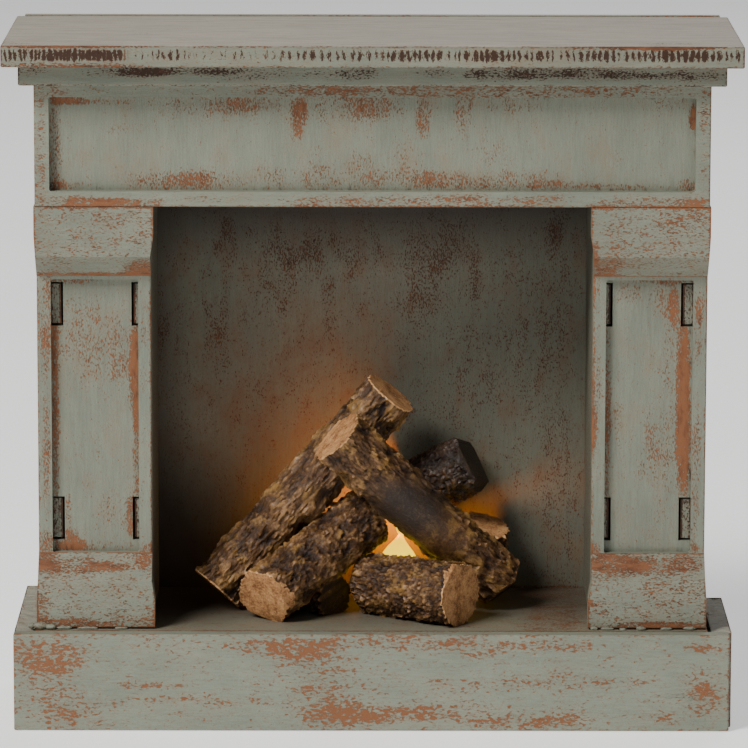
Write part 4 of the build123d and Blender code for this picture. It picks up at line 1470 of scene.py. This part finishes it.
    def _cut(self, piece: bpy.types.Object, place: Vector, outward: Vector, cut: Cut) -> None:
        """Finish one end of the log.

        Args:
            piece: The log.
            place: Middle of the end.
            outward: Direction out of it, along the axis.
            cut: How it ends.
        """
        facing = (outward + Vector(cut.lean)).normalized()
        place = place + outward * (cut.extra * MM)
        self._slice(piece, place, facing, cut.form is End.SAWN)
        radius = self.axis.left_radius + self.proud * MM
        across = facing.orthogonal().normalized()
        for degrees, depth in cut.chips:
            rim = Matrix.Rotation(math.radians(degrees), 3, facing) @ across
            self._slice(piece, place + rim * (radius - depth * MM),
                        (facing + rim * self.CHIP_LEAN).normalized(), cut.form is End.SAWN)
        if cut.form is End.BROKEN:
            for turn in range(self.SPLINTERS):
                angle = math.tau * turn / self.SPLINTERS + 0.3 * (turn % 3)
                rim = Matrix.Rotation(angle, 3, facing) @ across
                reach = radius * (0.62 + 0.07 * ((turn * 3) % 4))
                lean = (facing + rim * (0.7 + 0.15 * (turn % 3))).normalized()
                self._slice(piece, place + rim * reach, lean, False)

    def _record_relief(self, piece: bpy.types.Object) -> None:
        """Store each point's height of bark, and how close it is to a sawn end.

        Args:
            piece: The log.
        """
        points = np.array([v.co for v in piece.data.vertices], float)
        along = np.array(self.axis.along)
        left = np.array(self.axis.left)
        reach = (points - left) @ along
        spread = np.linalg.norm(points - left - np.outer(reach, along), axis=1)
        share = np.clip(reach / self.axis.length, 0, 1)
        nominal = self.axis.left_radius * (1 - share) + self.axis.right_radius * share
        depth = (self.lumps + self.knobs + self.crust) * MM
        relief = (spread - nominal) / depth
        relief = np.clip((relief - np.median(relief)) * 1.5 + 0.5, 0, 1)
        gap = np.full(len(points), 1.0)
        ends = ((self.left_cut, self.axis.left, -self.axis.along),
                (self.right_cut, self.axis.right, self.axis.along))
        for cut, place, outward in ends:
            if cut.form is End.SAWN:
                facing = np.array((outward + Vector(cut.lean)).normalized())
                gap = np.minimum(gap, np.abs((np.array(place) - points) @ facing))
        chip = np.clip(1 - gap / (self.RIM * MM), 0, 1)
        for name, values in (("relief", relief), ("chip", chip)):
            stored = piece.data.attributes.new(name, "FLOAT", "POINT")
            stored.data.foreach_set("value", values.astype(np.float32))


@dataclass
class LogPile:
    """The seven logs, glued together on the hearth."""

    def logs(self) -> List[BarkLog]:
        """What sets each log apart.

        Returns:
            The logs, from the rear of the pile to its floor.
        """
        return [
            BarkLog("log_rear_long", 1, Cut(lean=(0.0, -0.12, 0.0)), Cut(lean=(0.0, -0.2, 0.1)),
                    Bark(yellow=0.45, pale=0.55)),
            BarkLog("log_front_left", 2, Cut(lean=(0.12, -0.3, 0.1), chips=((40.0, 1.4), (150.0, 0.9))),
                    Cut(End.BURIED, extra=4.2), Bark(yellow=0.45, pale=0.45), crust=1.3, lumps=1.8,
                    proud=0.8),
            BarkLog("log_crossing", 3, Cut(), Cut(form=End.BROKEN),
                    Bark(yellow=0.6, pale=0.5, burns=(Rub(9.0, 52.5, 9.0, 7.0, 0.9),)),
                    smooth=(0.5, 0.26, 200.0)),
            BarkLog("log_charred", 4, Cut(End.BURIED),
                    Cut(End.BURIED, chips=((20.0, 1.8), (120.0, 1.6), (200.0, 2.0), (290.0, 1.6))),
                    Bark(yellow=0.0, pale=0.3, char=0.72, bared=(Rub(27.6, 64.2, 0.9, 2.4, 1.0),)),
                    slot="charred_bark", lumps=1.6, knobs=0.7),
            BarkLog("log_front_short", 5, Cut(form=End.BROKEN, extra=1.0), Cut(chips=((90.0, 0.8),)),
                    Bark(yellow=0.5, pale=0.4), lumps=1.3),
            BarkLog("log_right_prop", 6, Cut(form=End.BROKEN), Cut(lean=(0.0, -0.15, 0.0)),
                    Bark(yellow=0.5, pale=0.5)),
            BarkLog("log_floor_rear", 7, Cut(End.BURIED), Cut(End.BURIED, extra=5.0),
                    Bark(yellow=0.3, pale=0.4), lumps=1.0, knobs=0.5, around=110, proud=1.4),
        ]

    def build(self) -> None:
        """Model every log."""
        for log in self.logs():
            log.build()


# --- LED tealight -------------------------------------------------------------------------------
@dataclass
class LedTealight:
    """The tealight under the hearth, its lit flame and its works."""

    turns: int = 64
    # (height, radius, drift to the left, drift to the front) of each ring, in millimetres
    outline: Tuple[Tuple[float, float, float, float], ...] = (
        (17.1, 7.0, 0.0, 0.0), (18.0, 7.0, 0.0, 0.0), (18.0, 5.5, 0.0, 0.0), (24.0, 5.5, 0.0, 0.0),
        (30.0, 5.45, 0.0, 0.0), (33.0, 5.2, 0.0, 0.0), (35.4, 4.7, 0.0, 0.0), (37.2, 3.9, -0.1, 0.0),
        (38.8, 2.7, -0.1, 0.0), (40.0, 1.7, 0.1, 0.0), (41.0, 0.95, 0.35, 0.0), (41.9, 0.6, 0.5, 0.0),
        (42.7, 0.85, 0.35, 0.0), (43.6, 0.95, 0.15, 0.0), (44.5, 0.6, 0.05, 0.0), (45.3, 0.12, 0.1, 0.0))
    wall: float = 0.8
    lamp_power: float = 0.1
    lamp_height: float = 0.044
    lamp_spread: float = 160.0    # degrees

    YELLOW = (1.0, 0.68, 0.0, 1.0)
    ORANGE = (1.0, 0.5, 0.0, 1.0)
    AMBER = (1.0, 0.27, 0.01)

    def flame(self) -> bpy.types.Object:
        """Hollow flame drawn up ring by ring from its flange to a curled tip.

        Returns:
            The flame.
        """
        low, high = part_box("flame_diffuser")
        middle = (low + high) / 2
        first = self.outline[0]
        bpy.ops.object.select_all(action="DESELECT")
        bpy.ops.mesh.primitive_circle_add(vertices=self.turns, radius=first[1] * MM,
                                          location=(middle.x, middle.y, first[0] * MM))
        flame = bpy.context.object
        flame.name = "flame_diffuser_lit"
        bpy.ops.object.transform_apply(location=True, rotation=True, scale=True)
        bpy.ops.object.mode_set(mode="EDIT")
        bpy.ops.mesh.select_mode(type="EDGE")
        bpy.ops.mesh.select_all(action="SELECT")
        for before, after in zip(self.outline, self.outline[1:]):
            rise = ((after[2] - before[2]) * MM, -(after[3] - before[3]) * MM, (after[0] - before[0]) * MM)
            bpy.ops.mesh.extrude_region_move(TRANSFORM_OT_translate={"value": rise})
            grow = after[1] / before[1]
            bpy.ops.transform.resize(value=(grow, grow, 1.0))
        bpy.ops.mesh.edge_face_add()
        bpy.ops.mesh.select_all(action="SELECT")
        bpy.ops.mesh.normals_make_consistent(inside=False)
        bpy.ops.object.mode_set(mode="OBJECT")
        wall = flame.modifiers.new("wall", "SOLIDIFY")
        wall.thickness = self.wall * MM
        wall.offset = -1.0
        bpy.ops.object.modifier_apply(modifier=wall.name)
        bpy.ops.object.shade_smooth_by_angle(angle=math.radians(40))
        Glow("lit_flame", self.YELLOW, self.ORANGE, 2.2, 36.0, 43.0).dress(flame)
        flame.visible_shadow = False
        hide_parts("flame_diffuser")
        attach(flame, TEALIGHT)
        LOG.info("%s: %d faces", flame.name, len(flame.data.polygons))
        return flame

    def lamp(self) -> None:
        """Amber light inside the flame, which moves with the tealight."""
        low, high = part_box("flame_diffuser")
        data = bpy.data.lights.new("flame_light", "SPOT")
        data.energy = self.lamp_power
        data.color = self.AMBER
        data.spot_size = math.radians(self.lamp_spread)
        data.spot_blend = 0.4
        data.shadow_soft_size = 0.003
        lamp = bpy.data.objects.new("flame_light", data)
        bpy.context.scene.collection.objects.link(lamp)
        lamp.location = ((low.x + high.x) / 2, (low.y + high.y) / 2, self.lamp_height)
        lamp.rotation_euler = (math.radians(95), 0.0, 0.0)
        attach(lamp, TEALIGHT)

    def build(self) -> None:
        """Model the flame, light it and dress the works."""
        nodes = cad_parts
        self.flame()
        self.lamp()
        shell = Moulding("moulded_shell", tint(226, 222, 210))
        for name in ("tealight_case", "tealight_base", "battery_door"):
            shell.dress(nodes[name])
        Moulding("black_moulding", tint(34, 34, 35), 0.35).dress(nodes["switch_slider"])
        Moulding("solder_mask", tint(24, 92, 52), 0.35).dress(nodes["circuit_board"])
        Glow("amber_resin", (1.0, 0.6, 0.15, 1.0), (1.0, 0.4, 0.05, 1.0), 2.0, 13.0, 22.0).dress(nodes["led"])
        Metal("steel_can", tint(196, 197, 200)).dress(nodes["coin_cell"])
        for name in ("contact_negative", "contact_positive"):
            Metal("spring_brass", tint(204, 178, 112)).dress(nodes[name])
        LOG.info("tealight built")


def main() -> None:
    """Build and dress every sub-assembly in order."""
    logging.basicConfig(level=logging.INFO, format="%(message)s")
    studio = Studio()
    studio.camera()
    studio.floor()
    studio.lights()
    Mantel().dress()
    LEFT_PILASTER.dress()
    RIGHT_PILASTER.dress()
    Firebox().dress()
    Plinth().dress()
    LEFT_FILLER.build()
    RIGHT_FILLER.build()
    KNOT.build()
    LogPile().build()
    LedTealight().build()


if __name__ == "__main__":
    main()
